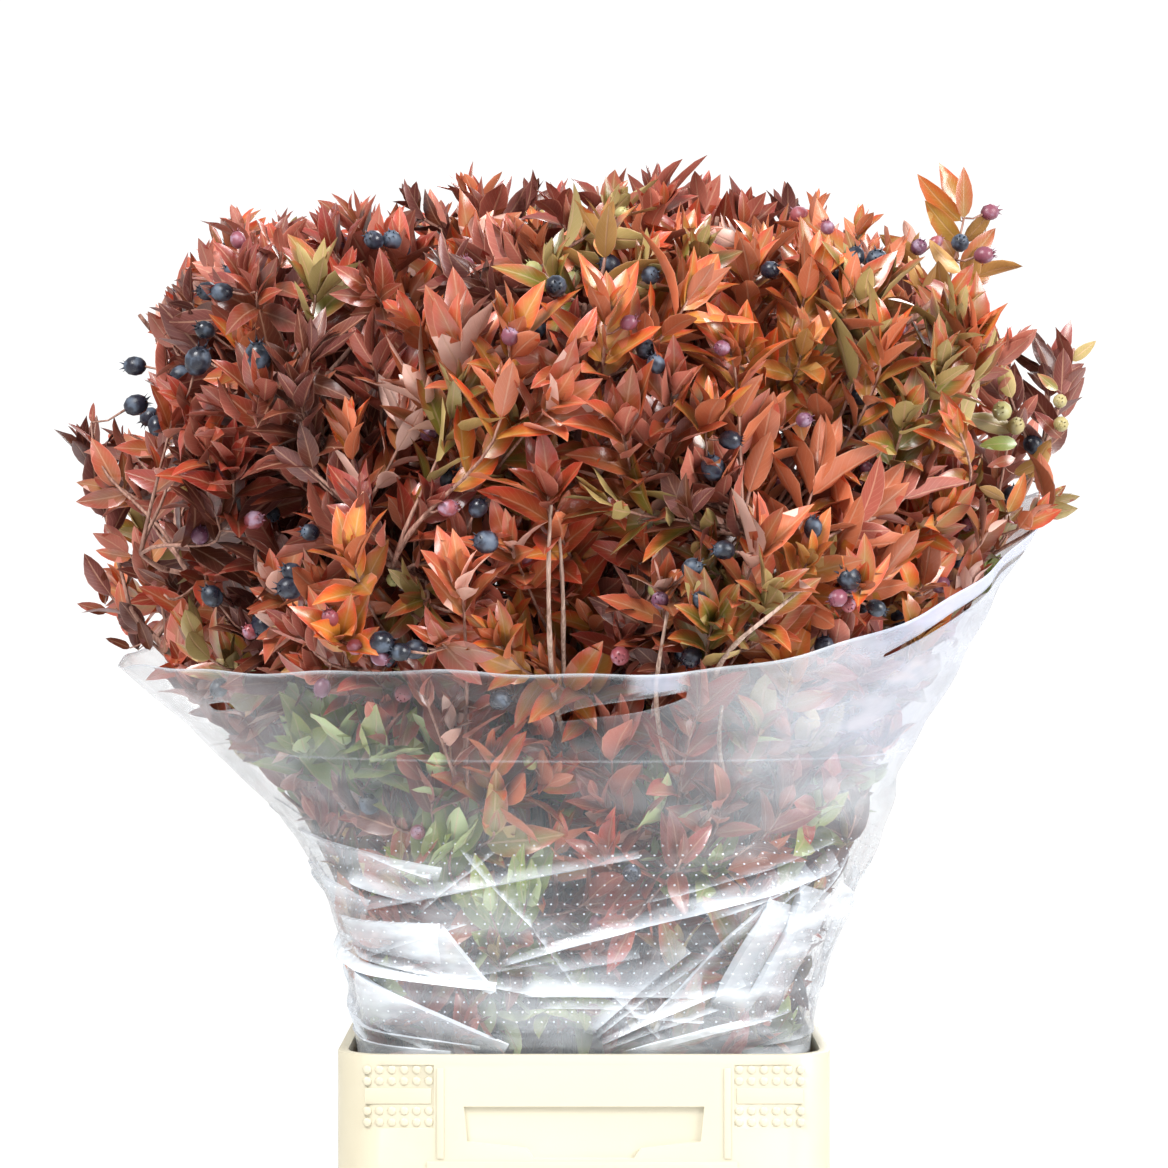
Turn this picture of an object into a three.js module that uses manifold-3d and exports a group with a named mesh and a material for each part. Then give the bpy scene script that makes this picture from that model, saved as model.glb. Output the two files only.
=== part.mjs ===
// A bunch of cut common myrtle with berries, held in a clear film sleeve and standing in a moulded
// flower container. Millimetres, +Z up, the front looks along -Y. The origin is the middle of the
// container's flat underside. Cut stems rise from the container's floor, and each ends where its
// mass of foliage begins.
import * as THREE from "three";
import { mergeVertices } from "three/addons/utils/BufferGeometryUtils.js";
import Module from "manifold-3d";

const wasm = await Module();
wasm.setup();

// The container: a straight collar over a tapered body
const CONTAINER_HEIGHT = 320;
const CONTAINER_FLOOR = 4;
const COLLAR_HALF_WIDTH = 149;
const COLLAR_HALF_DEPTH = 199;
const COLLAR_HEIGHT = 184;
const WALL = 6;
const BODY_STEP = 4;
const BASE_INSET = 20;
const CORNER_RADIUS = 28;
const CORNER_STEPS = 4;

// Its relief: a grip recess, sticker panels, ribs and a label frame on the front and back
const RELIEF_PROUD = 1;
const RELIEF_ROOT = 2;
const GRIP = { halfWidth: 72, top: 289, shoulder: 268, lip: 264, notch: 258, notchHalf: 30, depth: 3.2 };
const STICKER_PANEL = { inner: 90, outer: 138, bottom: 276, top: 314, depth: 0.8 };
const FACE_RIB = { across: 86, halfWidth: 2, bottom: 258, top: 312 };
const LABEL_FRAME = { left: -94, right: 92, bottom: 150, top: 256, band: 6 };
const SIDE_RIB = { along: [-128, -64, 64, 128], width: 4, height: 70, middle: 274 };

// The sleeve: it is tucked into the container's mouth and flares to a rim that is highest on the right
const SLEEVE_TUCK_HEIGHT = 306;
const SLEEVE_MOUTH_HEIGHT = 330;
const SLEEVE_MOUTH = { x: 141.7, y: 191.7 };
const SLEEVE_TOP = { x: 300, y: 288 };
const SLEEVE_FLARE = 1.4;
const SLEEVE_WALL = 1;
const SLEEVE_LOW_RIM = 552;
const SLEEVE_RIM_RISE = 110;
const SLEEVE_PEAK_DEGREES = 5;
const SLEEVE_FRONT_FALL = 85;
const SLEEVE_BACK_FALL = 190;
const SLEEVE_CORNERS = 7;
const SLEEVE_ROUND = 2.15;
const SLEEVE_AROUND = 32;
const SLEEVE_BANDS = 5;

// The stems, leaves and berries
const STEM_FOOT_RADIUS = 4.6;
const STEM_TIP_RADIUS = 2.8;
const FIT_GAP = 0.3;
const LEAF_LONGEST = 105;
const SPRIG_LEAF_LONGEST = 58;
const SHORTEST_SHARE = 0.38;
const LEAF_BREADTH = 0.46;
const LEAF_THICKNESS = 2.4;
const LEAF_WIDEST = 0.42;
const BERRY_RADIUS = 7.5;
const BERRY_LENGTH_SHARE = 1.15;
const STALK_LENGTH = 5;
const STALK_RADIUS = 1.1;
const GOLDEN_ANGLE = Math.PI * (3 - Math.sqrt(5));
const CROWN_DEPTH_SHARE = 0.94;

// How many twigs a mass has
const RING_TWIGS = 7;
const SPRIG_TWIGS = 5;
const LOW_TWIGS = 4;

const PALETTE = {
  container: { color: 0xf6efcd, roughness: 0.45 },
  sleeve: { color: 0xe4ebf2, roughness: 0.15, transparent: true, opacity: 0.3 },
  bark: { color: 0x8a6a55, roughness: 0.8 },
  rust: { color: 0x8a3626, roughness: 0.5 },
  copper: { color: 0xb04a28, roughness: 0.5 },
  maroon: { color: 0x56221f, roughness: 0.5 },
  olive: { color: 0x8c7a36, roughness: 0.5 },
};

const materials = Object.fromEntries(
  Object.entries(PALETTE).map(([slot, look]) => [
    slot,
    new THREE.MeshStandardMaterial({ metalness: 0, ...look }),
  ]),
);

// Small helpers
const vector = (x, y, z) => new THREE.Vector3(x, y, z);
const radians = THREE.MathUtils.degToRad;
const mix = THREE.MathUtils.lerp;

function seededRandom(seed) {
  let state = seed >>> 0;
  return () => {
    state = (state + 0x6d2b79f5) >>> 0;
    let t = Math.imul(state ^ (state >>> 15), 1 | state);
    t = (t + Math.imul(t ^ (t >>> 7), 61 | t)) ^ t;
    return ((t ^ (t >>> 14)) >>> 0) / 4294967296;
  };
}

function meshGeometry(points, faces) {
  const positions = points.flatMap((p) => [p.x, p.y, p.z]);
  const geometry = new THREE.BufferGeometry();
  geometry.setAttribute("position", new THREE.Float32BufferAttribute(positions, 3));
  geometry.setIndex(faces);
  return geometry;
}

// The faces of a wall through rings of equal count, which follow each other in the points
function wallFaces(ringCount, count, first = 0) {
  const faces = [];
  for (let band = 0; band < ringCount - 1; band += 1) {
    const low = first + band * count;
    const high = low + count;
    for (let i = 0; i < count; i += 1) {
      const next = (i + 1) % count;
      faces.push(low + i, low + next, high + next);
      faces.push(low + i, high + next, high + i);
    }
  }
  return faces;
}

// Joins rings into one closed surface with flat ends
function loft(rings) {
  const count = rings[0].length;
  const last = (rings.length - 1) * count;
  const faces = wallFaces(rings.length, count);
  for (let i = 1; i < count - 1; i += 1) {
    faces.push(0, i + 1, i);
    faces.push(last, last + i, last + i + 1);
  }
  return meshGeometry(rings.flat(), faces);
}

// A thin wall between an outer and an inner set of rings. Both are split along the same diagonals, so
// that the two skins can't pass through each other
function shell(outer, inner) {
  const count = outer[0].length;
  const innerFirst = outer.length * count;
  const faces = wallFaces(outer.length, count);
  faces.push(...wallFaces(inner.length, count, innerFirst).reverse());
  const rim = (outer.length - 1) * count;
  const innerRim = innerFirst + (inner.length - 1) * count;
  for (let i = 0; i < count; i += 1) {
    const next = (i + 1) % count;
    faces.push(i, innerFirst + i, innerFirst + next, i, innerFirst + next, next);
    faces.push(rim + i, rim + next, innerRim + next, rim + i, innerRim + next, innerRim + i);
  }
  return meshGeometry([...outer.flat(), ...inner.flat()], faces);
}

// A closed geometry as a solid that can be joined and cut
function solidOf(geometry) {
  const bare = geometry.clone();
  bare.deleteAttribute("normal");
  bare.deleteAttribute("uv");
  const merged = mergeVertices(bare, 1e-4);
  return new wasm.Manifold(
    new wasm.Mesh({
      numProp: 3,
      vertProperties: new Float32Array(merged.attributes.position.array),
      triVerts: new Uint32Array(merged.index.array),
    }),
  );
}

function geometryOf(solid) {
  const mesh = solid.getMesh();
  const geometry = new THREE.BufferGeometry();
  geometry.setAttribute("position", new THREE.BufferAttribute(mesh.vertProperties, 3));
  geometry.setIndex(new THREE.BufferAttribute(mesh.triVerts, 1));
  geometry.computeVertexNormals();
  return geometry;
}

function namedMesh(name, geometry, slot) {
  const mesh = new THREE.Mesh(geometry, materials[slot]);
  mesh.name = name;
  return mesh;
}

// The container
function roundedRectangle(halfWidth, halfDepth, radius, height) {
  const corners = [
    [1, 1],
    [-1, 1],
    [-1, -1],
    [1, -1],
  ];
  return corners.flatMap(([sideX, sideY], corner) =>
    Array.from({ length: CORNER_STEPS + 1 }, (_, step) => {
      const angle = (corner + step / CORNER_STEPS) * (Math.PI / 2);
      return vector(
        sideX * (halfWidth - radius) + radius * Math.cos(angle),
        sideY * (halfDepth - radius) + radius * Math.sin(angle),
        height,
      );
    }),
  );
}

// A flat panel drawn as [across, up] points, given a depth and set on the front face
function facePanel(outline, outerFace, innerFace) {
  const shape = new THREE.Shape(outline.map(([across, up]) => new THREE.Vector2(across, up)));
  const geometry = new THREE.ExtrudeGeometry(shape, { depth: outerFace - innerFace, bevelEnabled: false });
  geometry.rotateX(Math.PI / 2);
  geometry.translate(0, -innerFace, 0);
  return solidOf(geometry);
}

const block = (left, right, bottom, top) => [
  [left, bottom],
  [right, bottom],
  [right, top],
  [left, top],
];

// One face's relief, as pieces to cut away and pieces to add
function faceRelief(facePlane) {
  const recess = (outline, depth) => facePanel(outline, facePlane + RELIEF_ROOT, facePlane - depth);
  const proud = (outline) => facePanel(outline, facePlane + RELIEF_PROUD, facePlane - RELIEF_ROOT);
  const grip = [
    [-GRIP.halfWidth + 2, GRIP.shoulder],
    [-GRIP.notchHalf - 4, GRIP.lip],
    [-GRIP.notchHalf, GRIP.notch],
    [GRIP.notchHalf, GRIP.notch],
    [GRIP.notchHalf + 4, GRIP.lip],
    [GRIP.halfWidth - 2, GRIP.shoulder],
    [GRIP.halfWidth, GRIP.top],
    [-GRIP.halfWidth, GRIP.top],
  ];
  const { inner, outer, bottom, top, depth } = STICKER_PANEL;
  const { left, right, band } = LABEL_FRAME;
  const frame = proud(block(left, right, LABEL_FRAME.bottom, LABEL_FRAME.top)).subtract(
    recess(block(left + band, right - band, LABEL_FRAME.bottom + band, LABEL_FRAME.top - band), depth),
  );
  const rib = (middle) =>
    proud(block(middle - FACE_RIB.halfWidth, middle + FACE_RIB.halfWidth, FACE_RIB.bottom, FACE_RIB.top));
  return {
    cuts: [
      recess(grip, GRIP.depth),
      recess(block(-outer, -inner, bottom, top), depth),
      recess(block(inner, outer, bottom, top), depth),
    ],
    adds: [rib(-FACE_RIB.across), rib(FACE_RIB.across), frame],
  };
}

function makeContainer() {
  const stepHeight = CONTAINER_HEIGHT - COLLAR_HEIGHT;
  const ring = (inset, height, radius = CORNER_RADIUS) =>
    roundedRectangle(COLLAR_HALF_WIDTH - inset, COLLAR_HALF_DEPTH - inset, radius - inset / 2, height);
  let solid = solidOf(
    loft([
      ring(BASE_INSET, 0),
      ring(BODY_STEP, stepHeight - 2),
      ring(0, stepHeight),
      ring(0, CONTAINER_HEIGHT),
      ring(WALL, CONTAINER_HEIGHT),
      ring(WALL, stepHeight + 8),
      ring(WALL + BODY_STEP, stepHeight - 6),
      ring(WALL + BASE_INSET, CONTAINER_FLOOR),
    ]),
  );
  for (const turn of [0, 180]) {
    const relief = faceRelief(COLLAR_HALF_DEPTH);
    for (const add of relief.adds) solid = solid.add(add.rotate([0, 0, turn]));
    for (const cut of relief.cuts) solid = solid.subtract(cut.rotate([0, 0, turn]));
  }
  for (const side of [-1, 1]) {
    for (const along of SIDE_RIB.along) {
      const rib = new THREE.BoxGeometry(RELIEF_ROOT + RELIEF_PROUD, SIDE_RIB.width, SIDE_RIB.height);
      const across = COLLAR_HALF_WIDTH + (RELIEF_PROUD - RELIEF_ROOT) / 2;
      rib.translate(side * across, along, SIDE_RIB.middle);
      solid = solid.add(solidOf(rib));
    }
  }
  return namedMesh("container", geometryOf(solid), "container");
}

// The sleeve's section at each height is a rounded rectangle at the mouth and an ellipse at the rim
function sleeveRimHeight(angle) {
  const degrees = ((THREE.MathUtils.radToDeg(angle) % 360) + 360) % 360;
  const front = degrees > 180 + SLEEVE_PEAK_DEGREES;
  const fromRight = front ? 360 - degrees + SLEEVE_PEAK_DEGREES : degrees - SLEEVE_PEAK_DEGREES;
  const fall = front ? SLEEVE_FRONT_FALL : SLEEVE_BACK_FALL;
  const share = THREE.MathUtils.smoothstep(fall - fromRight, 0, fall);
  return SLEEVE_LOW_RIM + SLEEVE_RIM_RISE * share;
}

function sleeveRadius(angle, share) {
  const spread = THREE.MathUtils.clamp(share, 0, 1) ** SLEEVE_FLARE;
  const halfX = mix(SLEEVE_MOUTH.x, SLEEVE_TOP.x, spread);
  const halfY = mix(SLEEVE_MOUTH.y, SLEEVE_TOP.y, spread);
  const roundness = mix(SLEEVE_CORNERS, SLEEVE_ROUND, Math.min(1, Math.max(0, share) * 2));
  const sum =
    Math.abs(Math.cos(angle) / halfX) ** roundness + Math.abs(Math.sin(angle) / halfY) ** roundness;
  return sum ** (-1 / roundness);
}

function insideSleeve(point, clearance) {
  const angle = Math.atan2(point.y, point.x);
  const rim = sleeveRimHeight(angle);
  if (point.z > rim + clearance) return true;
  const share = (point.z - SLEEVE_MOUTH_HEIGHT) / (rim - SLEEVE_MOUTH_HEIGHT);
  return Math.hypot(point.x, point.y) < sleeveRadius(angle, share) - clearance;
}

function makeSleeve() {
  const shares = Array.from({ length: SLEEVE_BANDS + 1 }, (_, band) => band / SLEEVE_BANDS);
  const ring = (share, extra, tucked = false) =>
    Array.from({ length: SLEEVE_AROUND }, (_, i) => {
      const angle = (i / SLEEVE_AROUND) * 2 * Math.PI;
      const radius = sleeveRadius(angle, share) + extra;
      const height = tucked ? SLEEVE_TUCK_HEIGHT : mix(SLEEVE_MOUTH_HEIGHT, sleeveRimHeight(angle), share);
      return vector(radius * Math.cos(angle), radius * Math.sin(angle), height);
    });
  const rings = (extra) => [ring(0, extra, true), ...shares.map((share) => ring(share, extra))];
  return namedMesh("sleeve", shell(rings(SLEEVE_WALL), rings(0)), "sleeve");
}

// The masses of foliage: rings of them round the bunch, and three sprigs that stand out of it
const MASS_RINGS = [
  {
    name: "crown_top",
    slots: ["copper", "rust"],
    count: 4,
    turn: 45,
    radius: 92,
    height: 757,
    reach: 102,
    lean: 70,
    foot: 26,
    bend: 42,
  },
  {
    name: "shoulder",
    slots: ["copper", "rust", "rust"],
    count: 8,
    turn: 0,
    radius: 214,
    height: 718,
    reach: 120,
    lean: 35,
    foot: 70,
    bend: 88,
  },
  {
    name: "flank",
    slots: ["maroon", "rust", "olive"],
    count: 8,
    turn: 22.5,
    radius: 232,
    height: 602,
    reach: 102,
    lean: 10,
    foot: 98,
    bend: 112,
  },
];
const SPRIGS = [
  {
    name: "sprig_top_right",
    slot: "olive",
    site: [234, -26, 826],
    reach: 58,
    tip: [226, -25, 782],
    aim: [0.1, -0.04, 1],
    foot: [86, -24, 0],
  },
  {
    name: "sprig_far_right",
    slot: "maroon",
    site: [298, -8, 734],
    reach: 46,
    tip: [300, -8, 698],
    aim: [0.35, 0, 1],
    foot: [86, 16, 0],
  },
  {
    name: "sprig_left",
    slot: "rust",
    site: [-294, -30, 594],
    reach: 44,
    tip: [-270, -26, 562],
    aim: [-0.9, 0, 0.9],
    foot: [-88, -20, 0],
  },
];

// How far inside its mass's site a stem ends, as a share of the mass's reach
const ROOT_SHARE = 0.75;

function ringMasses({ name, count, turn, radius, height, reach, lean, foot, bend, slots }) {
  return Array.from({ length: count }, (_, i) => {
    const angle = radians(turn + (360 / count) * i);
    const out = vector(Math.cos(angle), Math.sin(angle) * CROWN_DEPTH_SHARE, 0);
    const site = out.clone().multiplyScalar(radius).setZ(height);
    const aim = out
      .clone()
      .multiplyScalar(Math.cos(radians(lean)))
      .setZ(Math.sin(radians(lean)))
      .normalize();
    return {
      name: `${name}_${i + 1}`,
      slot: slots[i % slots.length],
      site,
      reach,
      aim,
      leafLongest: LEAF_LONGEST,
      twigs: RING_TWIGS,
      root: site.clone().addScaledVector(aim, -ROOT_SHARE * reach),
      foot: out.clone().multiplyScalar(foot),
      bend: out.clone().multiplyScalar(bend),
    };
  });
}

const SPRIG_BEND = 1.05;

function sprigMass({ name, site, tip, aim, foot, reach, slot }) {
  return {
    name,
    slot,
    site: vector(...site),
    reach,
    aim: vector(...aim).normalize(),
    root: vector(...tip),
    leafLongest: SPRIG_LEAF_LONGEST,
    twigs: SPRIG_TWIGS,
    foot: vector(...foot),
    bend: vector(...foot).multiplyScalar(SPRIG_BEND),
  };
}

// Each stem is a cut length: upright from the container's floor, then leaning out to its own mass
const STEM_PULL = 70;
const STEM_BEND_HEIGHT = 430;
function stemCurve(mass) {
  const foot = mass.foot.clone().setZ(CONTAINER_FLOOR + FIT_GAP);
  const bend = mass.bend.clone().setZ(STEM_BEND_HEIGHT);
  const tip = mass.root.clone().addScaledVector(mass.aim, -FIT_GAP);
  const approach = tip.clone().addScaledVector(mass.aim, -STEM_PULL);
  return new THREE.CubicBezierCurve3(foot, bend, approach, tip);
}

// A tapering limb along a curve, with flat ends square to it and its first end level if asked
function limb(curve, steps, sides, radiusStart, radiusEnd, levelStart = false) {
  const rings = [];
  const side = vector(0, 1, 0);
  for (let step = 0; step <= steps; step += 1) {
    const share = step / steps;
    const at = curve.getPoint(share);
    const along = step === 0 && levelStart ? vector(0, 0, 1) : curve.getTangent(share);
    const across = side.clone().cross(along).normalize();
    const up = along.clone().cross(across).normalize();
    const radius = mix(radiusStart, radiusEnd, share);
    rings.push(
      Array.from({ length: sides }, (_, i) => {
        const angle = (i / sides) * 2 * Math.PI;
        return at
          .clone()
          .addScaledVector(across, radius * Math.cos(angle))
          .addScaledVector(up, radius * Math.sin(angle));
      }),
    );
  }
  return loft(rings);
}

function makeStem(mass) {
  const name = `stem_${mass.name}`;
  return namedMesh(name, limb(mass.stem, 5, 5, STEM_FOOT_RADIUS, STEM_TIP_RADIUS, true), "bark");
}

// The low masses fill the sleeve. Each grows from the side of a stem in the flank ring
const LOW_ROOT_GAP = 2;
const LOW_MASS = {
  slots: ["olive", "rust"],
  count: 6,
  radius: 128,
  height: 446,
  reach: 122,
  rootHeight: 392,
  lean: 30,
};

function lowMasses(flankMasses) {
  const { count, radius, height, reach, rootHeight, lean, slots } = LOW_MASS;
  return Array.from({ length: count }, (_, i) => {
    const host = flankMasses[Math.round((i * flankMasses.length) / count) % flankMasses.length];
    const share = shareAtHeight(host.stem, rootHeight);
    const on = host.stem.getPoint(share);
    const out = vector(on.x, on.y, 0).normalize();
    const aim = out
      .clone()
      .multiplyScalar(Math.cos(radians(lean)))
      .setZ(Math.sin(radians(lean)))
      .normalize();
    const hostRadius = mix(STEM_FOOT_RADIUS, STEM_TIP_RADIUS, share);
    return {
      name: `sleeve_leaves_${i + 1}`,
      slot: slots[i % slots.length],
      site: vector(out.x * radius, out.y * radius, height),
      reach,
      aim,
      leafLongest: LEAF_LONGEST,
      twigs: LOW_TWIGS,
      root: on.clone().addScaledVector(aim, hostRadius + LOW_ROOT_GAP),
    };
  });
}

function shareAtHeight(curve, height) {
  let low = 0;
  let high = 1;
  for (let i = 0; i < 30; i += 1) {
    const middle = (low + high) / 2;
    if (curve.getPoint(middle).z < height) low = middle;
    else high = middle;
  }
  return low;
}

// A mass keeps to its own space: within its reach, nearer to its own site than to any other, clear of
// the sleeve and of the container's mouth
const SPACE_MARGIN = 1;
const SLEEVE_CLEARANCE = 5;
const LOWEST_LEAF = 336;
const WALK_STEP = 3;

function inSpace(point, mass, masses) {
  if (point.z < LOWEST_LEAF) return false;
  if (point.distanceTo(mass.site) > mass.reach) return false;
  const own = point.distanceToSquared(mass.site);
  for (const other of masses) {
    if (other === mass) continue;
    const beyond = point.distanceToSquared(other.site) - own;
    if (beyond < 2 * SPACE_MARGIN * other.site.distanceTo(mass.site)) return false;
  }
  return insideSleeve(point, SLEEVE_CLEARANCE);
}

// The way from a point until the space ends
function freeLength(start, direction, mass, masses) {
  let length = 0;
  while (inSpace(start.clone().addScaledVector(direction, length + WALK_STEP), mass, masses)) {
    length += WALK_STEP;
  }
  return length;
}

function clearOfLimbs(point, limbs, clearance) {
  const nearest = vector(0, 0, 0);
  return limbs.every(({ lines, radius }) =>
    lines.every((line) => {
      line.closestPointToPoint(point, true, nearest);
      return nearest.distanceTo(point) > radius + clearance;
    }),
  );
}

function limbLines(curve, radius) {
  const points = curve.getPoints(12);
  return { radius, lines: points.slice(1).map((end, i) => new THREE.Line3(points[i], end)) };
}

// A leaf is a thin diamond with a flat underside and a crest above: it has a base, a tip and two sides
function leafFrame(base, along, facing) {
  const across = along.clone().cross(facing).normalize();
  const normal = across.clone().cross(along).normalize();
  return { base, along, across, normal };
}

function leafSolid({ base, along, across, normal }, length, sink) {
  const middle = base.clone().addScaledVector(along, length * LEAF_WIDEST);
  const half = (length * LEAF_BREADTH) / 2;
  const points = [
    base.clone().addScaledVector(along, -sink),
    middle.clone().addScaledVector(across, half),
    base.clone().addScaledVector(along, length),
    middle.clone().addScaledVector(across, -half),
    middle.clone().addScaledVector(normal, LEAF_THICKNESS),
  ];
  return solidOf(meshGeometry(points, [0, 1, 4, 1, 2, 4, 2, 3, 4, 3, 0, 4, 0, 3, 1, 1, 3, 2]));
}

// A leaf is tested at points along and across it, all closer than the clearance to the next
const LEAF_CLEARANCE = 8;
const TESTED_ALONG = [0.12, 0.27, 0.42, 0.55, 0.7, 0.85, 1];
const TESTED_ACROSS = [-1, -0.5, 0, 0.5, 1];

function leafFits({ base, along, across }, length, mass, masses, limbs) {
  for (const share of TESTED_ALONG) {
    const width = share < LEAF_WIDEST ? share / LEAF_WIDEST : (1 - share) / (1 - LEAF_WIDEST);
    for (const side of TESTED_ACROSS) {
      const point = base
        .clone()
        .addScaledVector(along, share * length)
        .addScaledVector(across, (side * width * length * LEAF_BREADTH) / 2);
      if (!inSpace(point, mass, masses) || !clearOfLimbs(point, limbs, LEAF_CLEARANCE)) return false;
    }
  }
  return true;
}

// The longest leaf that has room there, or none
const TRIED_LENGTHS = [1, 0.88, 0.76, 0.64, 0.52];

function longestLeaf(frame, share, mass, masses, limbs) {
  const room = Math.min(mass.leafLongest * share, freeLength(frame.base, frame.along, mass, masses));
  const shortest = mass.leafLongest * SHORTEST_SHARE;
  return TRIED_LENGTHS.map((part) => room * part).find(
    (length) => length >= shortest && leafFits(frame, length, mass, masses, limbs),
  );
}

// The rule of growth: an axis towards the mass's aim, twigs on a golden-angle spiral round it, and on
// each twig crossed pairs of leaves and one at its end that runs to the edge of the space
const AXIS_SHARE = 0.8;
const SHORTEST_AXIS = 12;
const FIRST_TWIG = 0.95;
const LAST_TWIG = 0.3;
const TWIG_SPREAD = radians(125);
const TWIG_SHARE = 0.46;
const SHORTEST_TWIG_SHARE = 0.14;
const TWO_PAIR_TWIGS = 3;
const TWO_PAIR_SHARE = 0.35;
const FUSE_TOLERANCE = 0.05;
const SEED = 101;
const UPPER_PAIR = 0.84;
const LOWER_PAIR = 0.35;
const PAIR_OFFSET = 2;
const PAIR_TURN = 0.6;
const LEAF_AWAY = 0.78;
const LEAF_ALONG = 0.62;
const TIP_LEAF = 0.97;
const SMALLEST_LEAF = 0.8;
const BERRY_PLACE = 0.7;
const LEAF_SINK = 0.2;
const AXIS_RADIUS = 2.6;
const TWIG_RADIUS = 2.3;
const TWIG_END_RADIUS = 1.5;

function straight(from, to) {
  return new THREE.LineCurve3(from, to);
}

function twigDirection(aim, index, count) {
  const polar = TWIG_SPREAD * Math.sqrt((index + 0.5) / count);
  const turn = index * GOLDEN_ANGLE;
  const across = (Math.abs(aim.z) > 0.9 ? vector(1, 0, 0) : vector(0, 0, 1)).cross(aim).normalize();
  const other = aim.clone().cross(across);
  return aim
    .clone()
    .multiplyScalar(Math.cos(polar))
    .addScaledVector(across, Math.sin(polar) * Math.cos(turn))
    .addScaledVector(other, Math.sin(polar) * Math.sin(turn));
}

function leavesOnTwig(start, end, pairs, random) {
  const along = end.clone().sub(start).normalize();
  const reference = Math.abs(along.z) > 0.9 ? vector(1, 0, 0) : vector(0, 0, 1);
  const across = along.clone().cross(reference).normalize();
  const frames = [leafFrame(start.clone().lerp(end, TIP_LEAF), along, across)];
  for (let pair = 0; pair < pairs; pair += 1) {
    const node = start.clone().lerp(end, pair === 0 ? UPPER_PAIR : LOWER_PAIR);
    const turn = pair * (Math.PI / 2) + random() * PAIR_TURN;
    for (const side of [-1, 1]) {
      const base = node.clone().addScaledVector(along, side * PAIR_OFFSET);
      const away = across.clone().applyAxisAngle(along, turn).multiplyScalar(side);
      const direction = away.clone().multiplyScalar(LEAF_AWAY).addScaledVector(along, LEAF_ALONG).normalize();
      frames.push(leafFrame(base, direction, along));
    }
  }
  return frames;
}

function growMass(mass, index, masses, stems) {
  const random = seededRandom(SEED + index);
  const limbs = [
    ...stems,
    ...masses.filter((other) => other !== mass).map((other) => limbLines(other.axis, AXIS_RADIUS)),
  ];
  const pieces = [solidOf(limb(mass.axis, 1, 4, AXIS_RADIUS, TWIG_RADIUS))];
  const leaves = [];
  for (let twig = 0; twig < mass.twigs; twig += 1) {
    const direction = twigDirection(mass.aim, twig, mass.twigs);
    const start = mass.axis.getPoint(mix(FIRST_TWIG, LAST_TWIG, twig / (mass.twigs - 1)));
    const length = freeLength(start, direction, mass, masses) * TWIG_SHARE;
    if (length < mass.leafLongest * SHORTEST_TWIG_SHARE) continue;
    const end = start.clone().addScaledVector(direction, length);
    pieces.push(solidOf(limb(straight(start, end), 1, 3, TWIG_RADIUS, TWIG_END_RADIUS)));
    const pairs = twig < TWO_PAIR_TWIGS && length > mass.leafLongest * TWO_PAIR_SHARE ? 2 : 1;
    for (const frame of leavesOnTwig(start, end, pairs, random)) {
      const leafLength = longestLeaf(frame, mix(SMALLEST_LEAF, 1, random()), mass, masses, limbs);
      if (!leafLength) continue;
      const leaf = leafSolid(frame, leafLength, LEAF_SINK);
      if (leaves.some((other) => other.intersect(leaf).volume() > 0)) continue;
      leaves.push(leaf);
    }
    if (twig === mass.berryTwig) {
      pieces.push(...berryOn(start.clone().lerp(end, BERRY_PLACE), direction, random));
    }
  }
  const fused = largest(wasm.Manifold.union([...pieces, ...leaves])).simplify(FUSE_TOLERANCE);
  return namedMesh(mass.name, geometryOf(fused), mass.slot);
}

// A berry on a short stalk, fused to its twig
function berryOn(base, along, random) {
  const away = vector(random() - 0.5, random() - 0.5, 0.4).cross(along).normalize();
  const centre = base.clone().addScaledVector(away, BERRY_RADIUS + STALK_LENGTH);
  const ball = new THREE.SphereGeometry(BERRY_RADIUS, 6, 3);
  ball.scale(1, 1, BERRY_LENGTH_SHARE);
  ball.translate(centre.x, centre.y, centre.z);
  return [solidOf(limb(straight(base, centre), 1, 3, STALK_RADIUS, STALK_RADIUS)), solidOf(ball)];
}

// Fusing can seal a hollow or leave a scrap: only the largest outer skin is kept
function largest(solid) {
  return solid.decompose().reduce((a, b) => (b.volume() > a.volume() ? b : a));
}

// The whole bunch
const upperMasses = [...MASS_RINGS.flatMap(ringMasses), ...SPRIGS.map(sprigMass)];
upperMasses.forEach((mass, index) => {
  mass.stem = stemCurve(mass);
  if (index % 2 === 0) mass.berryTwig = index % 3;
});
const flankMasses = upperMasses.filter((mass) => mass.name.startsWith("flank"));
const allMasses = [...upperMasses, ...lowMasses(flankMasses)];
for (const mass of allMasses) {
  const length = Math.max(freeLength(mass.root, mass.aim, mass, allMasses) * AXIS_SHARE, SHORTEST_AXIS);
  mass.axis = straight(mass.root, mass.root.clone().addScaledVector(mass.aim, length));
}
const stemLimbs = upperMasses.map((mass) => limbLines(mass.stem, STEM_FOOT_RADIUS));

const bunch = new THREE.Group();
bunch.add(makeContainer(), makeSleeve());
for (const mass of upperMasses) bunch.add(makeStem(mass));
allMasses.forEach((mass, index) => bunch.add(growMass(mass, index, allMasses, stemLimbs)));

export default bunch;
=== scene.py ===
"""A bunch of cut common myrtle with berries, in a clear film sleeve, standing in a moulded flower
container. Metres, +Z up, the front looks along -Y."""

import math

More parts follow.
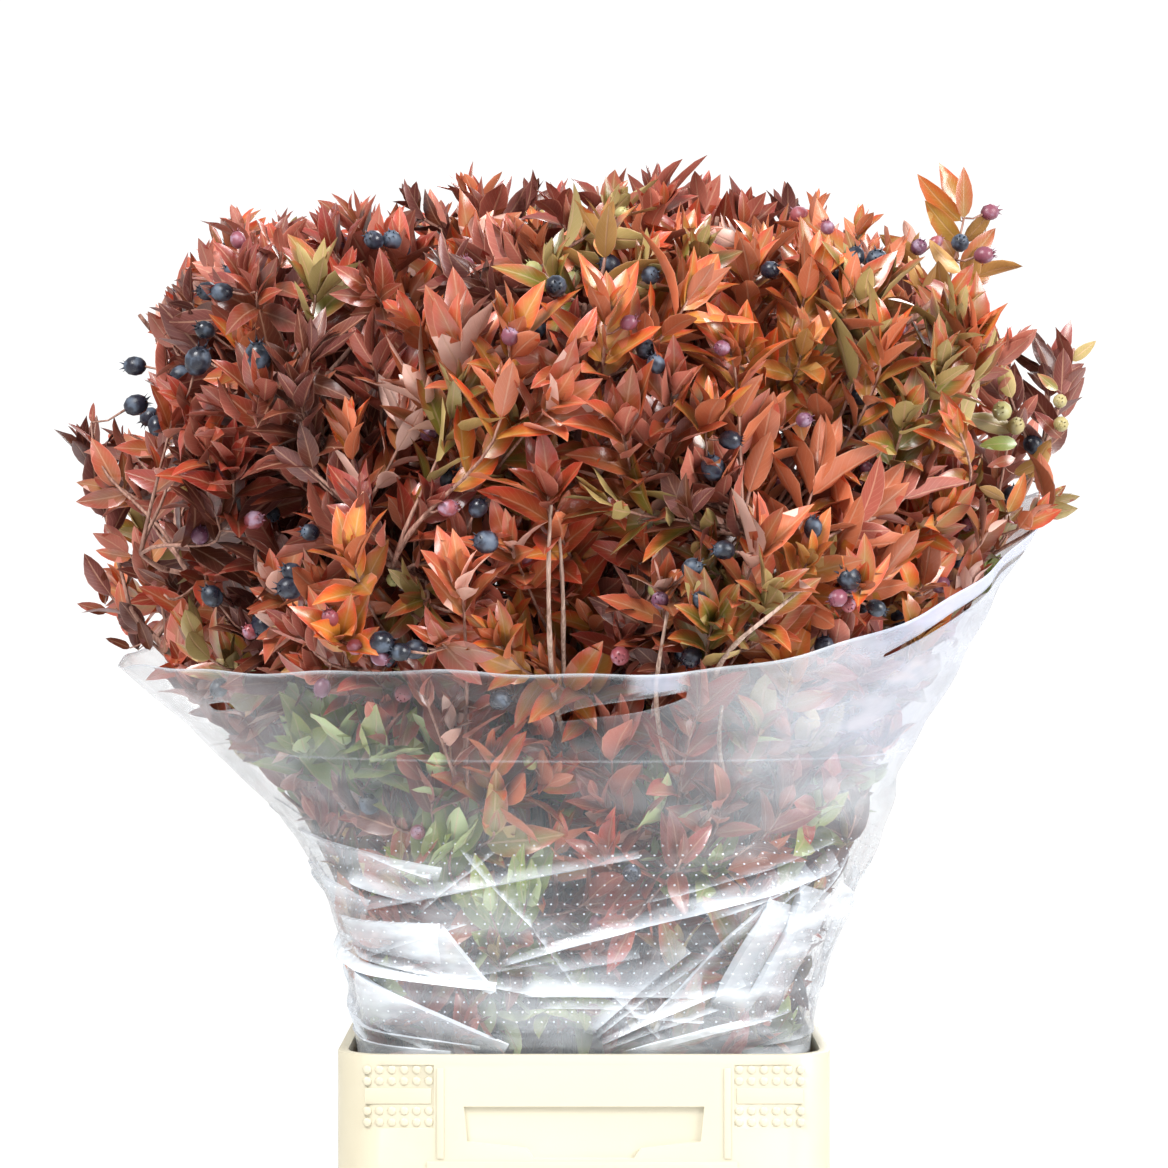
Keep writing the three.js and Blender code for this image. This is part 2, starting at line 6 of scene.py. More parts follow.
import bmesh
import bpy
import numpy as np
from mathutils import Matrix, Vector


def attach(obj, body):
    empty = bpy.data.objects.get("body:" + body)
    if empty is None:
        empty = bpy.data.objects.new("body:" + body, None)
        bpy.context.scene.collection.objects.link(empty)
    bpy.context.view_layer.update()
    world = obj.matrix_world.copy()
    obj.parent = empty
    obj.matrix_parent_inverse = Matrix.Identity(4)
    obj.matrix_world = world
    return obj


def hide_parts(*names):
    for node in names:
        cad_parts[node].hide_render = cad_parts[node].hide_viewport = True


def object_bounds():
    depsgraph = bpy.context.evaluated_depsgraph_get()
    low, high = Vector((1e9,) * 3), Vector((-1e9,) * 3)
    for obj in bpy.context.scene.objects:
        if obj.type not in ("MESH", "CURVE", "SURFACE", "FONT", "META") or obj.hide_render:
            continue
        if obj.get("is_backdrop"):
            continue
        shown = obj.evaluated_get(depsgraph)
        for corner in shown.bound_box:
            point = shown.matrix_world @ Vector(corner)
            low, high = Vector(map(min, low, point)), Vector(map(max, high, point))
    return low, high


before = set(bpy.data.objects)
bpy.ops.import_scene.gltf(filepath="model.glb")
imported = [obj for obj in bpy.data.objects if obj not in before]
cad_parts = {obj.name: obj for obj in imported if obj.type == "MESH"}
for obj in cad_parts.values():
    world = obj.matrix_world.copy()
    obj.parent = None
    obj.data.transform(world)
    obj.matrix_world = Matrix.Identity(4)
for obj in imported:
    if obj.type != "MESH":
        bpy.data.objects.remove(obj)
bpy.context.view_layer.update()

# The view. The camera stands level in front of the bunch, at the height of its middle, far enough
# away for the flower container to keep its true width.
VIEW_DISTANCE = 2.570
VIEW_HEIGHT = 0.602
LENS = 122.05
SENSOR = 36.0
PHOTO_SIDE = 1168


def linked_object(name, data, *materials):
    for material in materials:
        data.materials.append(material)
    made = bpy.data.objects.new(name, data)
    bpy.context.scene.collection.objects.link(made)
    return made


def pixel_at(depth):
    """How wide a pixel of the photograph is at this depth along Y."""
    return (VIEW_DISTANCE + depth) * SENSOR / (LENS * PHOTO_SIDE)


def seen_at(across, down, depth):
    """The point that stands at this place of the photograph, at this depth along Y."""
    x = (across - PHOTO_SIDE / 2) * pixel_at(depth)
    return np.array([x, depth, VIEW_HEIGHT - (down - PHOTO_SIDE / 2) * pixel_at(depth)])


view_data = bpy.data.cameras.new("view")
view_data.lens = LENS
view_data.sensor_width = SENSOR
view = linked_object("view", view_data)
view.location = (0, -VIEW_DISTANCE, VIEW_HEIGHT)
view.rotation_euler = (math.pi / 2, 0, 0)
bpy.context.scene.camera = view

# The studio: a white room with one wide soft light high on the left, weaker ones on the right and
# behind, and a pale floor that the container stands on and that runs out into the white of the room.
ROOM_STRENGTH = 0.56
ROOM_AS_SEEN = 1.1
# Each light: its place, what it faces, its side and its power
LIGHTS = dict(
    key_light=((-1.3, -2.0, 2.7), (0, 0, 0.6), 1.2, 123),
    fill_light=((2.2, -1.6, 1.6), (0, 0, 0.6), 1.4, 98),
    back_light=((0.9, 2.6, 2.0), (0, 0, 0.5), 1.6, 60),
)
FLOOR_RADIUS = 14
FLOOR_FADE = (0.6, 1.3)
FLOOR_TONE = (0.9, 0.9, 0.9, 1)
FLOOR_ROUGHNESS = 0.6


def feed(tree, socket, value):
    """Sets a socket to a plain value, or links it to the socket that gives the value."""
    if isinstance(value, bpy.types.NodeSocket):
        tree.links.new(value, socket)
    else:
        socket.default_value = value


def new_node(tree, kind, **sockets):
    node = tree.nodes.new(kind)
    for name, value in sockets.items():
        feed(tree, node.inputs[name.replace("_", " ")], value)
    return node


def arithmetic(tree, operation, *values, clamp=False):
    node = tree.nodes.new("ShaderNodeMath")
    node.operation = operation
    node.use_clamp = clamp
    for socket, value in zip(node.inputs, values):
        feed(tree, socket, value)
    return node.outputs["Value"]


def remap(tree, value, low, high, to_low=0.0, to_high=1.0):
    limits = dict(From_Min=low, From_Max=high, To_Min=to_low, To_Max=to_high)
    node = new_node(tree, "ShaderNodeMapRange", Value=value, **limits)
    node.interpolation_type = "SMOOTHSTEP"
    return node.outputs["Result"]


def blend_colours(tree, share, first, second):
    """A mix of two colours, each a plain colour or a socket, by a share between 0 and 1."""
    mix = tree.nodes.new("ShaderNodeMix")
    mix.data_type = "RGBA"
    for name, value in (("Factor", share), ("A", first), ("B", second)):
        feed(tree, mix.inputs[name], value)
    return next(out for out in mix.outputs if out.type == "RGBA")


def object_coordinates(tree):
    return tree.nodes.new("ShaderNodeTexCoord").outputs["Object"]


def node_material(name):
    material = bpy.data.materials.new(name)
    material.use_nodes = True
    return material, material.node_tree, material.node_tree.nodes["Principled BSDF"]


def smooth_mesh(name, shape):
    """Turns a bmesh into a smoothly shaded mesh, and frees it."""
    for face in shape.faces:
        face.smooth = True
    mesh = bpy.data.meshes.new(name)
    shape.to_mesh(mesh)
    shape.free()
    return mesh


world = bpy.data.worlds.new("white_room")
world.use_nodes = True
tree = world.node_tree
room_light = tree.nodes["Background"].inputs
room_light["Color"].default_value = (1.0, 1.0, 1.0, 1)
seen_directly = tree.nodes.new("ShaderNodeLightPath").outputs["Is Camera Ray"]
brightness = arithmetic(tree, "MULTIPLY_ADD", seen_directly, ROOM_AS_SEEN - ROOM_STRENGTH, ROOM_STRENGTH)
feed(tree, room_light["Strength"], brightness)
bpy.context.scene.world = world
bpy.context.scene.view_settings.view_transform = "Standard"

for name, (place, target, side, power) in LIGHTS.items():
    data = bpy.data.lights.new(name, "AREA")
    data.shape = "SQUARE"
    data.size = side
    data.energy = power
    lamp = linked_object(name, data)
    lamp.location = place
    lamp.rotation_euler = (Vector(target) - Vector(place)).to_track_quat("-Z", "Y").to_euler()

floor_material, tree, shader = node_material("pale_floor")
shader.inputs["Roughness"].default_value = FLOOR_ROUGHNESS
shader.inputs["Emission Color"].default_value = (1, 1, 1, 1)
far = tree.nodes.new("ShaderNodeVectorMath")
far.operation = "LENGTH"
feed(tree, far.inputs[0], object_coordinates(tree))
fade = remap(tree, far.outputs["Value"], *FLOOR_FADE)
feed(tree, shader.inputs["Base Color"], blend_colours(tree, fade, FLOOR_TONE, (0, 0, 0, 1)))
feed(tree, shader.inputs["Emission Strength"], fade)
shape = bmesh.new()
bmesh.ops.create_circle(shape, cap_ends=True, segments=96, radius=FLOOR_RADIUS)
floor = linked_object("floor", smooth_mesh("floor", shape), floor_material)
floor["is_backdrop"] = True

# The flower container: one moulded shell of cream plastic, with a grip, ribs, a label frame and
# panels of small studs moulded into its straight collar. Its edges are rounded by the mould.
CREAM = (0.555, 0.515, 0.395, 1)
CREAM_WORN = (0.525, 0.475, 0.350, 1)
EDGE_ROUND = 0.0007
SHARPER_THAN = math.radians(28)
FACE_PLANE = 0.199
PANEL_DEPTH = 0.0008
STUD_RADIUS = 0.0027
STUD_SQUASH = (1, 0.42, 1)
STUD_PITCH = 0.0074
STUD_COLUMNS = 6
STUD_ROWS = (0.3110, 0.3042, 0.2864, 0.2796)
PANEL_MIDDLE = 0.1115
PLATE_SIZE = (0.0400, 0.0012, 0.0094)
PLATE_HEIGHT = 0.2953
PLATE_ROUND = 0.0004


def cloudy(tree, coordinates, scale, detail=3.0, stretch=(1, 1, 1)):
    """Soft noise on a piece, stretched along its axes."""
    mapping = new_node(tree, "ShaderNodeMapping", Scale=stretch, Vector=coordinates)
    where = mapping.outputs["Vector"]
    return new_node(tree, "ShaderNodeTexNoise", Scale=scale, Detail=detail, Vector=where).outputs["Fac"]


def raise_surface(tree, shader, height, distance, strength):
    bump = new_node(tree, "ShaderNodeBump", Strength=strength, Distance=distance, Height=height)
    feed(tree, shader.inputs["Normal"], bump.outputs["Normal"])


def round_edges(shape, edges, width):
    bmesh.ops.bevel(
        shape, geom=edges, offset=width, segments=2, profile=0.5, affect="EDGES", clamp_overlap=True,
        material=-1,
    )


def add_piece(name, mesh, slot, *materials, stands_for=()):
    """A piece of the part, with the CAD nodes that it stands for. The slot of its finish is not used."""
    piece = linked_object(name, mesh, *materials)
    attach(piece, "root")
    if stands_for:
        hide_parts(*stands_for)
    return piece


cream_plastic, tree, shader = node_material("cream_plastic")
where = object_coordinates(tree)
scuffs = remap(tree, cloudy(tree, where, 9.0, 5.0), 0.45, 0.75)
feed(tree, shader.inputs["Base Color"], blend_colours(tree, scuffs, CREAM, CREAM_WORN))
feed(tree, shader.inputs["Roughness"], remap(tree, cloudy(tree, where, 30.0, 4.0), 0.3, 0.7, 0.32, 0.5))
raise_surface(tree, shader, cloudy(tree, where, 700.0, 2.0), 0.0001, 0.35)

shape = bmesh.new()
shape.from_mesh(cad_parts["container"].data)
bmesh.ops.remove_doubles(shape, verts=shape.verts, dist=1e-5)
bmesh.ops.dissolve_limit(shape, angle_limit=math.radians(1), verts=shape.verts, edges=shape.edges)
sharp = [edge for edge in shape.edges if edge.is_manifold and edge.calc_face_angle() > SHARPER_THAN]
round_edges(shape, sharp, EDGE_ROUND)
bmesh.ops.triangulate(shape, faces=[face for face in shape.faces if len(face.verts) > 4])
mesh = smooth_mesh("container_shell", shape)
mesh.set_sharp_from_angle(angle=math.radians(35))
add_piece("container_shell", mesh, "container", cream_plastic, stands_for=["container"])

shape = bmesh.new()
for facing in (-1, 1):
    out = facing * (FACE_PLANE - PANEL_DEPTH)
    for side in (-1, 1):
        for height in STUD_ROWS:
            for column in range(STUD_COLUMNS):
                stud = bmesh.ops.create_uvsphere(shape, u_segments=12, v_segments=6, radius=STUD_RADIUS)
                bmesh.ops.scale(shape, vec=STUD_SQUASH, verts=stud["verts"])
                across = side * PANEL_MIDDLE + (column - (STUD_COLUMNS - 1) / 2) * STUD_PITCH
                bmesh.ops.translate(shape, vec=(across, out, height), verts=stud["verts"])
        plate = bmesh.ops.create_cube(shape, size=1)["verts"]
        bmesh.ops.scale(shape, vec=PLATE_SIZE, verts=plate)
        bmesh.ops.translate(shape, vec=(side * PANEL_MIDDLE, out, PLATE_HEIGHT), verts=plate)
        round_edges(shape, [edge for edge in shape.edges if set(edge.verts) <= set(plate)], PLATE_ROUND)
add_piece("container_studs", smooth_mesh("container_studs", shape), "container", cream_plastic)

# How the bunch is laid out: rings of leafy masses, and three sprigs that stand out of them. Each mass
# is the top of one cut stem, and grows only within its reach and inside the film sleeve.
CONTAINER_FLOOR = 0.0043
GOLDEN_ANGLE = math.pi * (3 - math.sqrt(5))
UP = np.array([0.0, 0.0, 1.0])
CROWN_DEPTH_SHARE = 0.94
STEM_BEND_HEIGHT = 0.430
STEM_PULL = 0.070
ROOT_SHARE = 0.75
SPRIG_BEND = 1.05
RINGS = (
    dict(name="crown_top", count=4, turn=45, radius=0.092, height=0.757, reach=0.102, lean=70, foot=0.026,
         bend=0.042, slots=("copper", "rust")),
    dict(name="shoulder", count=8, turn=0, radius=0.214, height=0.718, reach=0.120, lean=35, foot=0.070,
         bend=0.088, slots=("copper", "rust", "rust")),
    dict(name="flank", count=8, turn=22.5, radius=0.232, height=0.602, reach=0.102, lean=10, foot=0.098,
         bend=0.112, slots=("maroon", "rust", "olive")),
)
SPRIGS = (
    dict(name="sprig_top_right", site=(0.234, -0.026, 0.826), reach=0.058, tip=(0.226, -0.025, 0.782),
         aim=(0.1, -0.04, 1), foot=(0.086, -0.024, 0), slot="olive"),
    dict(name="sprig_far_right", site=(0.298, -0.008, 0.734), reach=0.046, tip=(0.300, -0.008, 0.698),
         aim=(0.35, 0, 1), foot=(0.086, 0.016, 0), slot="maroon"),
    dict(name="sprig_left", site=(-0.294, -0.030, 0.594), reach=0.044, tip=(-0.270, -0.026, 0.562),
         aim=(-0.9, 0, 0.9), foot=(-0.088, -0.020, 0), slot="rust"),
)
LOW_MASS = dict(
    count=6, radius=0.128, height=0.446, reach=0.122, root_height=0.392, lean=30, slots=("olive", "rust")
)
STEM_FOOT_RADIUS = 0.0046
STEM_TIP_RADIUS = 0.0028


def unit(vectors):
    vectors = np.asarray(vectors, float)
    return vectors / np.maximum(np.linalg.norm(vectors, axis=-1, keepdims=True), 1e-12)


def bezier(controls, shares):
    a, b, c, d = (np.asarray(point, float) for point in controls)
    s = np.asarray(shares, float)[..., None]
    return a * (1 - s) ** 3 + 3 * b * s * (1 - s) ** 2 + 3 * c * s * s * (1 - s) + d * s**3


def leaning(out, lean):
    return unit(out * math.cos(math.radians(lean)) + UP * math.sin(math.radians(lean)))


def stem_controls(foot, bend, root, aim):
    return (
        np.array([foot[0], foot[1], CONTAINER_FLOOR]),
        np.array([bend[0], bend[1], STEM_BEND_HEIGHT]),
        root - aim * STEM_PULL,
        root,
    )


masses = []
for ring in RINGS:
    for index in range(ring["count"]):
        angle = math.radians(ring["turn"] + 360 / ring["count"] * index)
        out = np.array([math.cos(angle), math.sin(angle) * CROWN_DEPTH_SHARE, 0.0])
        site = out * ring["radius"] + UP * ring["height"]
        aim = leaning(out, ring["lean"])
        root = site - aim * ROOT_SHARE * ring["reach"]
        stem = stem_controls(out * ring["foot"], out * ring["bend"], root, aim)
        masses.append(
            dict(name=f"{ring['name']}_{index + 1}", kind=ring["name"], site=site, reach=ring["reach"],
                 aim=aim, root=root, stem=stem, slot=ring["slots"][index % len(ring["slots"])])
        )
for sprig in SPRIGS:
    aim, root, foot = unit(sprig["aim"]), np.array(sprig["tip"]), np.array(sprig["foot"])
    stem = stem_controls(foot, foot * SPRIG_BEND, root, aim)
    masses.append(
        dict(name=sprig["name"], kind=sprig["name"], site=np.array(sprig["site"]), reach=sprig["reach"],
             aim=aim, root=root, stem=stem, slot=sprig["slot"])
    )
flanks = [mass for mass in masses if mass["kind"] == "flank"]
for index in range(LOW_MASS["count"]):
    host = flanks[round(index * len(flanks) / LOW_MASS["count"]) % len(flanks)]
    line = bezier(host["stem"], np.linspace(0, 1, 400))
    root = line[np.argmin(np.abs(line[:, 2] - LOW_MASS["root_height"]))]
    out = unit([root[0], root[1], 0.0])
    masses.append(
        dict(name=f"sleeve_leaves_{index + 1}", kind="sleeve_leaves", reach=LOW_MASS["reach"],
             site=out * LOW_MASS["radius"] + UP * LOW_MASS["height"],
             aim=leaning(out, LOW_MASS["lean"]), root=root, stem=None,
             slot=LOW_MASS["slots"][index % len(LOW_MASS["slots"])])
    )
sites = np.array([mass["site"] for mass in masses])
reaches = np.array([mass["reach"] for mass in masses])


# The film's own shape sets how far the leaves inside it may spread. It stands in the container's
# mouth, runs up as a neck and then flares, and its rim climbs from the front to the right.
MOUTH_HEIGHT = 0.330
MOUTH_HALF = (0.1417, 0.1917)
TOP_HALF = (0.300, 0.288)
LOW_RIM = 0.552
RIM_RISE = 0.110
PEAK_DEGREES = 5
FRONT_FALL = 85
BACK_FALL = 190
MOUTH_SQUARENESS = 7
RIM_ROUNDNESS = 2.15
FLARE_LEFT = 1.9
FLARE_RIGHT = 1.3


def smooth_share(value, low, high):
    share = np.clip((value - low) / (high - low), 0, 1)
    return share * share * (3 - 2 * share)


def rim_height(angle):
    degrees = np.degrees(angle) % 360
    front = degrees > 180 + PEAK_DEGREES
    from_right = np.where(front, 360 - degrees + PEAK_DEGREES, degrees - PEAK_DEGREES)
    fall = np.where(front, FRONT_FALL, BACK_FALL)
    return LOW_RIM + RIM_RISE * smooth_share(fall - from_right, 0, fall)


def film_radius(angle, share):
    flare = FLARE_LEFT + (FLARE_RIGHT - FLARE_LEFT) * (1 + np.cos(angle)) / 2
    spread = np.clip(share, 0, 1) ** flare
    half_x = MOUTH_HALF[0] + (TOP_HALF[0] - MOUTH_HALF[0]) * spread
    half_y = MOUTH_HALF[1] + (TOP_HALF[1] - MOUTH_HALF[1]) * spread
    power = MOUTH_SQUARENESS + (RIM_ROUNDNESS - MOUTH_SQUARENESS) * np.clip(share * 2, 0, 1)
    total = np.abs(np.cos(angle) / half_x) ** power + np.abs(np.sin(angle) / half_y) ** power
    return total ** (-1 / power)


# The rule of growth, carried on from the stems: from each stem's end a bough, and round it twigs on a
# golden-angle spiral. From these and from the stems finer shoots turn up into the room that is left.
LOWEST_LEAF = 0.309
FILM_CLEARANCE = 0.006
WALK_STEP = 0.003
WALK_STEPS = 90
AXIS_SHARE = 0.8
SHORTEST_AXIS = 0.012
FIRST_TWIG, LAST_TWIG = 0.95, 0.30
TWIG_SPREAD = math.radians(125)
TWIG_SHARE = 0.46
TWIG_COUNTS = dict(sprig_top_right=0, sprig_far_right=0, sprig_left=3, sleeve_leaves=4)
RING_TWIGS = 7
SPACE_SLACK = 0.020
HEART_RADIUS = 0.235
HEART_TOP = 0.770
FINE_STEMS = 42
FINE_STEM_FOOT = 0.112
FINE_STEM_POINTS = 24
FINE_STEM_BEND = 1.12
FINE_STEM_SPREAD = (0.03, 0.20)
FINE_STEM_TOPS = (0.54, 0.70)
SEED = 101
# Radii of the boughs and of their twigs, at the foot and at the end
BOUGH_RADII = (0.0028, 0.0017)
TWIG_RADII = (0.0020, 0.0013)
SHORTEST_TWIG = 0.012
TWIG_RISE = 0.25
# How many points stand for a stem, and from which of them up shoots may leave it, or a fine stem
STEM_LIMB_POINTS = 60
STEM_LIMB_FROM = 24
FINE_LIMB_FROM = 12
# Where shoots may end: how deep under the outline, and how far from the next shoot's end
OUTER_BAND = (0.004, 0.050, 0.0285)
INNER_BAND = (0.052, 0.300, 0.050)
CANDIDATES = 60000
FRONT_DEPTH = 0.010
LEAF_OVERHANG = 0.012
SHOWN_OVERHANG = 0.019
LUMP_DEPTH = 0.026
LUMP_WAVES = (58.0, 51.0, 64.0)
# Hollows between the sprays: the place in the photograph's pixels, and how wide
HOLLOWS = (
    (530, 610, 0.026), (592, 522, 0.02), (672, 575, 0.02), (484, 586, 0.02), (420, 560, 0.016),
    (748, 470, 0.016), (330, 500, 0.016), (610, 470, 0.014), (560, 650, 0.018), (410, 470, 0.014),
    (250, 440, 0.014), (900, 520, 0.018), (700, 500, 0.014), (180, 620, 0.016), (350, 400, 0.012),
    (930, 300, 0.018), (1000, 470, 0.016),
)
HOLLOW_DEPTH = 0.016
# Places of the photograph where sky shows beside the sprigs: in its pixels, and how wide
SKY = (
    (1012, 300, 26), (1060, 462, 22), (1020, 560, 14), (905, 205, 22), (120, 250, 60), (60, 380, 40),
    (126, 346, 34), (124, 398, 28), (144, 424, 12), (40, 480, 34), (52, 536, 38), (40, 612, 34),
    (72, 668, 34), (1010, 240, 26),
)
SKY_MARGIN = 8
# Places of the photograph where a sprig shows, in the same way. Nothing else stands there in front
# of the depth that follows
SPRIG_VIEWS = (
    (1000, 412, 44), (1062, 380, 50), (948, 262, 46), (985, 320, 20), (1012, 478, 30), (118, 480, 50),
    (136, 560, 42), (124, 622, 40),
)
SPRIG_VIEW_DEPTH = -0.016
# The outline behind a pixel is looked for from, to and in steps of these, or else the depth is fixed
FRONT_SEARCH = (-0.36, 0.10, 0.004)
MIDDLE_DEPTH = -0.03
# How far a shoot's end leans outwards low down, how much less above, and between which heights
LEAN_OUT, LEAN_LESS = 0.44, 0.24
LEAN_HEIGHTS = (0.55, 0.80)
HEADING_WANDER = 0.28
# Which limb a shoot leaves: one this much lower and this far away, at these costs if it isn't
LIMB_BELOW, BELOW_COST = 0.02, 1.5
LIMB_NEAREST, NEAR_COST = 0.035, 0.08
AHEAD_GAIN = 0.020


def outside_discs(points, discs, margin=0):
    """Whether points show outside all these discs of the photograph."""
    across = points[:, 0] / pixel_at(points[:, 1]) + PHOTO_SIDE / 2
    down = (VIEW_HEIGHT - points[:, 2]) / pixel_at(points[:, 1]) + PHOTO_SIDE / 2
    return np.all([np.hypot(across - x, down - y) > wide + margin for x, y, wide in discs], axis=0)


def clear_of_sprigs(points):
    """Whether points leave the sprigs in view."""
    return outside_discs(points, SPRIG_VIEWS) | (points[:, 1] > SPRIG_VIEW_DEPTH)


def outline_room(points):
    """How deep points lie under the outline of the bunch. Outside it this is below 0."""
    away = np.linalg.norm(points[..., None, :] - sites, axis=-1)
    nearest = away.min(axis=-1, keepdims=True)
    depth = np.where(away - nearest < SPACE_SLACK, reaches - away, -1).max(axis=-1)
    flat = np.hypot(points[..., 0], points[..., 1] / CROWN_DEPTH_SHARE)
    return np.maximum(depth, np.minimum(HEART_RADIUS - flat, HEART_TOP - points[..., 2]))


def film_room(points):
    """How far points stand from the film and from the container's mouth."""
    angle = np.arctan2(points[..., 1], points[..., 0])
    rim = rim_height(angle)
    share = (points[..., 2] - MOUTH_HEIGHT) / (rim - MOUTH_HEIGHT)
    to_film = film_radius(angle, share) - FILM_CLEARANCE - np.hypot(points[..., 0], points[..., 1])
    to_film = np.where(points[..., 2] > rim + FILM_CLEARANCE, 1, to_film)
    return np.minimum(to_film, points[..., 2] - LOWEST_LEAF)


def room_left(points):
    points = np.asarray(points, float)
    return np.minimum(outline_room(points), film_room(points))


def lumps(points):
    """Between 0 and 1 all round the bunch, for an outline that isn't even."""
    waves = [np.sin(points[:, axis] * LUMP_WAVES[axis] + 1.3 * points[:, axis - 1] * 40) for axis in range(3)]
    return np.clip(waves[0] * waves[1] + waves[1] * waves[2] + waves[2] * waves[0], 0, 1)


def twig_direction(aim, index, count):
    polar = TWIG_SPREAD * math.sqrt((index + 0.5) / count)
    turn = index * GOLDEN_ANGLE
    across = unit(np.cross([1.0, 0, 0] if abs(aim[2]) > 0.9 else UP, aim))
    other = np.cross(aim, across)
    return aim * math.cos(polar) + (across * math.cos(turn) + other * math.sin(turn)) * math.sin(polar)


def free_length(start, direction, index):
    """The way from a point until the mass's own space ends."""
    walked = start + direction * (np.arange(1, WALK_STEPS)[:, None] * WALK_STEP)
    away = np.linalg.norm(walked[:, None] - sites, axis=-1)
    own = away[:, index]
    blocked = (own > reaches[index]) | (own > away.min(axis=-1) + 0.001) | (room_left(walked) < 0)
    found = np.flatnonzero(blocked)
    return (found[0] if len(found) else WALK_STEPS - 1) * WALK_STEP


LINE_POINTS = 9
line_shares = np.linspace(0, 1, LINE_POINTS)
boughs = []
for index, mass in enumerate(masses):
    length = max(free_length(mass["root"], mass["aim"], index) * AXIS_SHARE, SHORTEST_AXIS)
    length = SHORTEST_AXIS if mass["kind"].startswith("sprig") else length
    boughs.append((mass["root"] + mass["aim"] * line_shares[:, None] * length, BOUGH_RADII))
    count = TWIG_COUNTS.get(mass["kind"], RING_TWIGS)
    for twig in range(count):
        direction = twig_direction(mass["aim"], twig, count)
        share = FIRST_TWIG + (LAST_TWIG - FIRST_TWIG) * twig / (count - 1)
        start = mass["root"] + mass["aim"] * length * share
        reach = free_length(start, direction, index) * TWIG_SHARE
        if reach > SHORTEST_TWIG:
            rise = UP * reach * TWIG_RISE * line_shares[:, None] ** 2
            boughs.append((start + direction * reach * line_shares[:, None] + rise, TWIG_RADII))

own_stems = [mass for mass in masses if mass["stem"] is not None]
stem_dice = np.random.default_rng(SEED)
fine_stems = []
for index in range(FINE_STEMS):
    share = math.sqrt((index + 0.5) / FINE_STEMS)
    turn = index * GOLDEN_ANGLE + 0.9
    out = np.array([math.cos(turn), math.sin(turn) * 1.25, 0.0])
    inmost, further = FINE_STEM_SPREAD
    top = out * [1, 0.8, 0] * (inmost + further * share) + UP * stem_dice.uniform(*FINE_STEM_TOPS)
    aim = unit(out * 0.5 + UP)
    foot = out * FINE_STEM_FOOT * share
    controls = stem_controls(foot, foot * FINE_STEM_BEND, top, aim)
    fine_stems.append(bezier(controls, np.linspace(0, 1, FINE_STEM_POINTS)))

limb_shares = np.linspace(0, 1, STEM_LIMB_POINTS)[STEM_LIMB_FROM:]
limb_points = [bezier(mass["stem"], limb_shares) for mass in own_stems]
limb_points += [line[FINE_LIMB_FROM:] for line in fine_stems] + [line for line, _ in boughs]
limb_points = np.concatenate([line[line[:, 2] > LOWEST_LEAF] for line in limb_points])


def spread_out(points, band, kept):
    """Adds to the kept points those that lie deep enough under the outline and far enough apart."""
    shallow, deep, spacing = band
    depth = room_left(points)
    from_hollow = (np.linalg.norm(points[:, None] - hollow_places, axis=2) / hollow_reaches).min(axis=1)
    shown = (depth > shallow + LUMP_DEPTH * lumps(points)) & (depth < deep) & (from_hollow > 1)
    points = points[shown & outside_discs(points, SKY, SKY_MARGIN) & clear_of_sprigs(points)]
    store = np.empty((len(kept) + len(points), 3))
    count = len(kept)
    store[:count] = kept
    for point in points:
        if count == 0 or ((store[:count] - point) ** 2).sum(axis=1).min() > spacing**2:
            store[count] = point
            count += 1
    return store[:count]


def front_point(across, down, depth=None, under=FRONT_DEPTH):
    """The point behind a place of the photograph where the bunch's outline begins."""
    if depth is not None:
        return seen_at(across, down, depth)
    tried = np.array([seen_at(across, down, away) for away in np.arange(*FRONT_SEARCH)])
    deep_enough = np.flatnonzero(room_left(tried) > under)
    return tried[deep_enough[0]] if len(deep_enough) else seen_at(across, down, MIDDLE_DEPTH)


hollow_places = np.array([front_point(across, down, under=HOLLOW_DEPTH) for across, down, _ in HOLLOWS])
hollow_reaches = np.array([reach for _, _, reach in HOLLOWS])


def heading_at(end, dice):
    """A shoot's end points up and a little away from the middle of the bunch."""
    out = unit(end * [1, 1, 0])
    sideways = LEAN_OUT - LEAN_LESS * smooth_share(end[2], *LEAN_HEIGHTS)
    return unit(out * sideways + UP * 0.90 + dice.normal(0, HEADING_WANDER, 3))


def nearest_limb(end, heading):
    """The point of the nearest limb that lies lower than a shoot's end."""
    gap = end - limb_points
    far = np.linalg.norm(gap, axis=1)
    cost = far + BELOW_COST * np.maximum(0, LIMB_BELOW - gap[:, 2]) - AHEAD_GAIN * (unit(gap) @ heading)
    return limb_points[(cost + np.where(far < LIMB_NEAREST, NEAR_COST, 0)).argmin()]


def shoot_towards(end, dice):
    heading = heading_at(end, dice)
    start = nearest_limb(end, heading)
    length = np.linalg.norm(end - start)
    middle = start + unit(end - start + UP * length * 0.2) * length * 0.35
    return bezier((start, middle, end - heading * length * 0.38, end), line_shares)


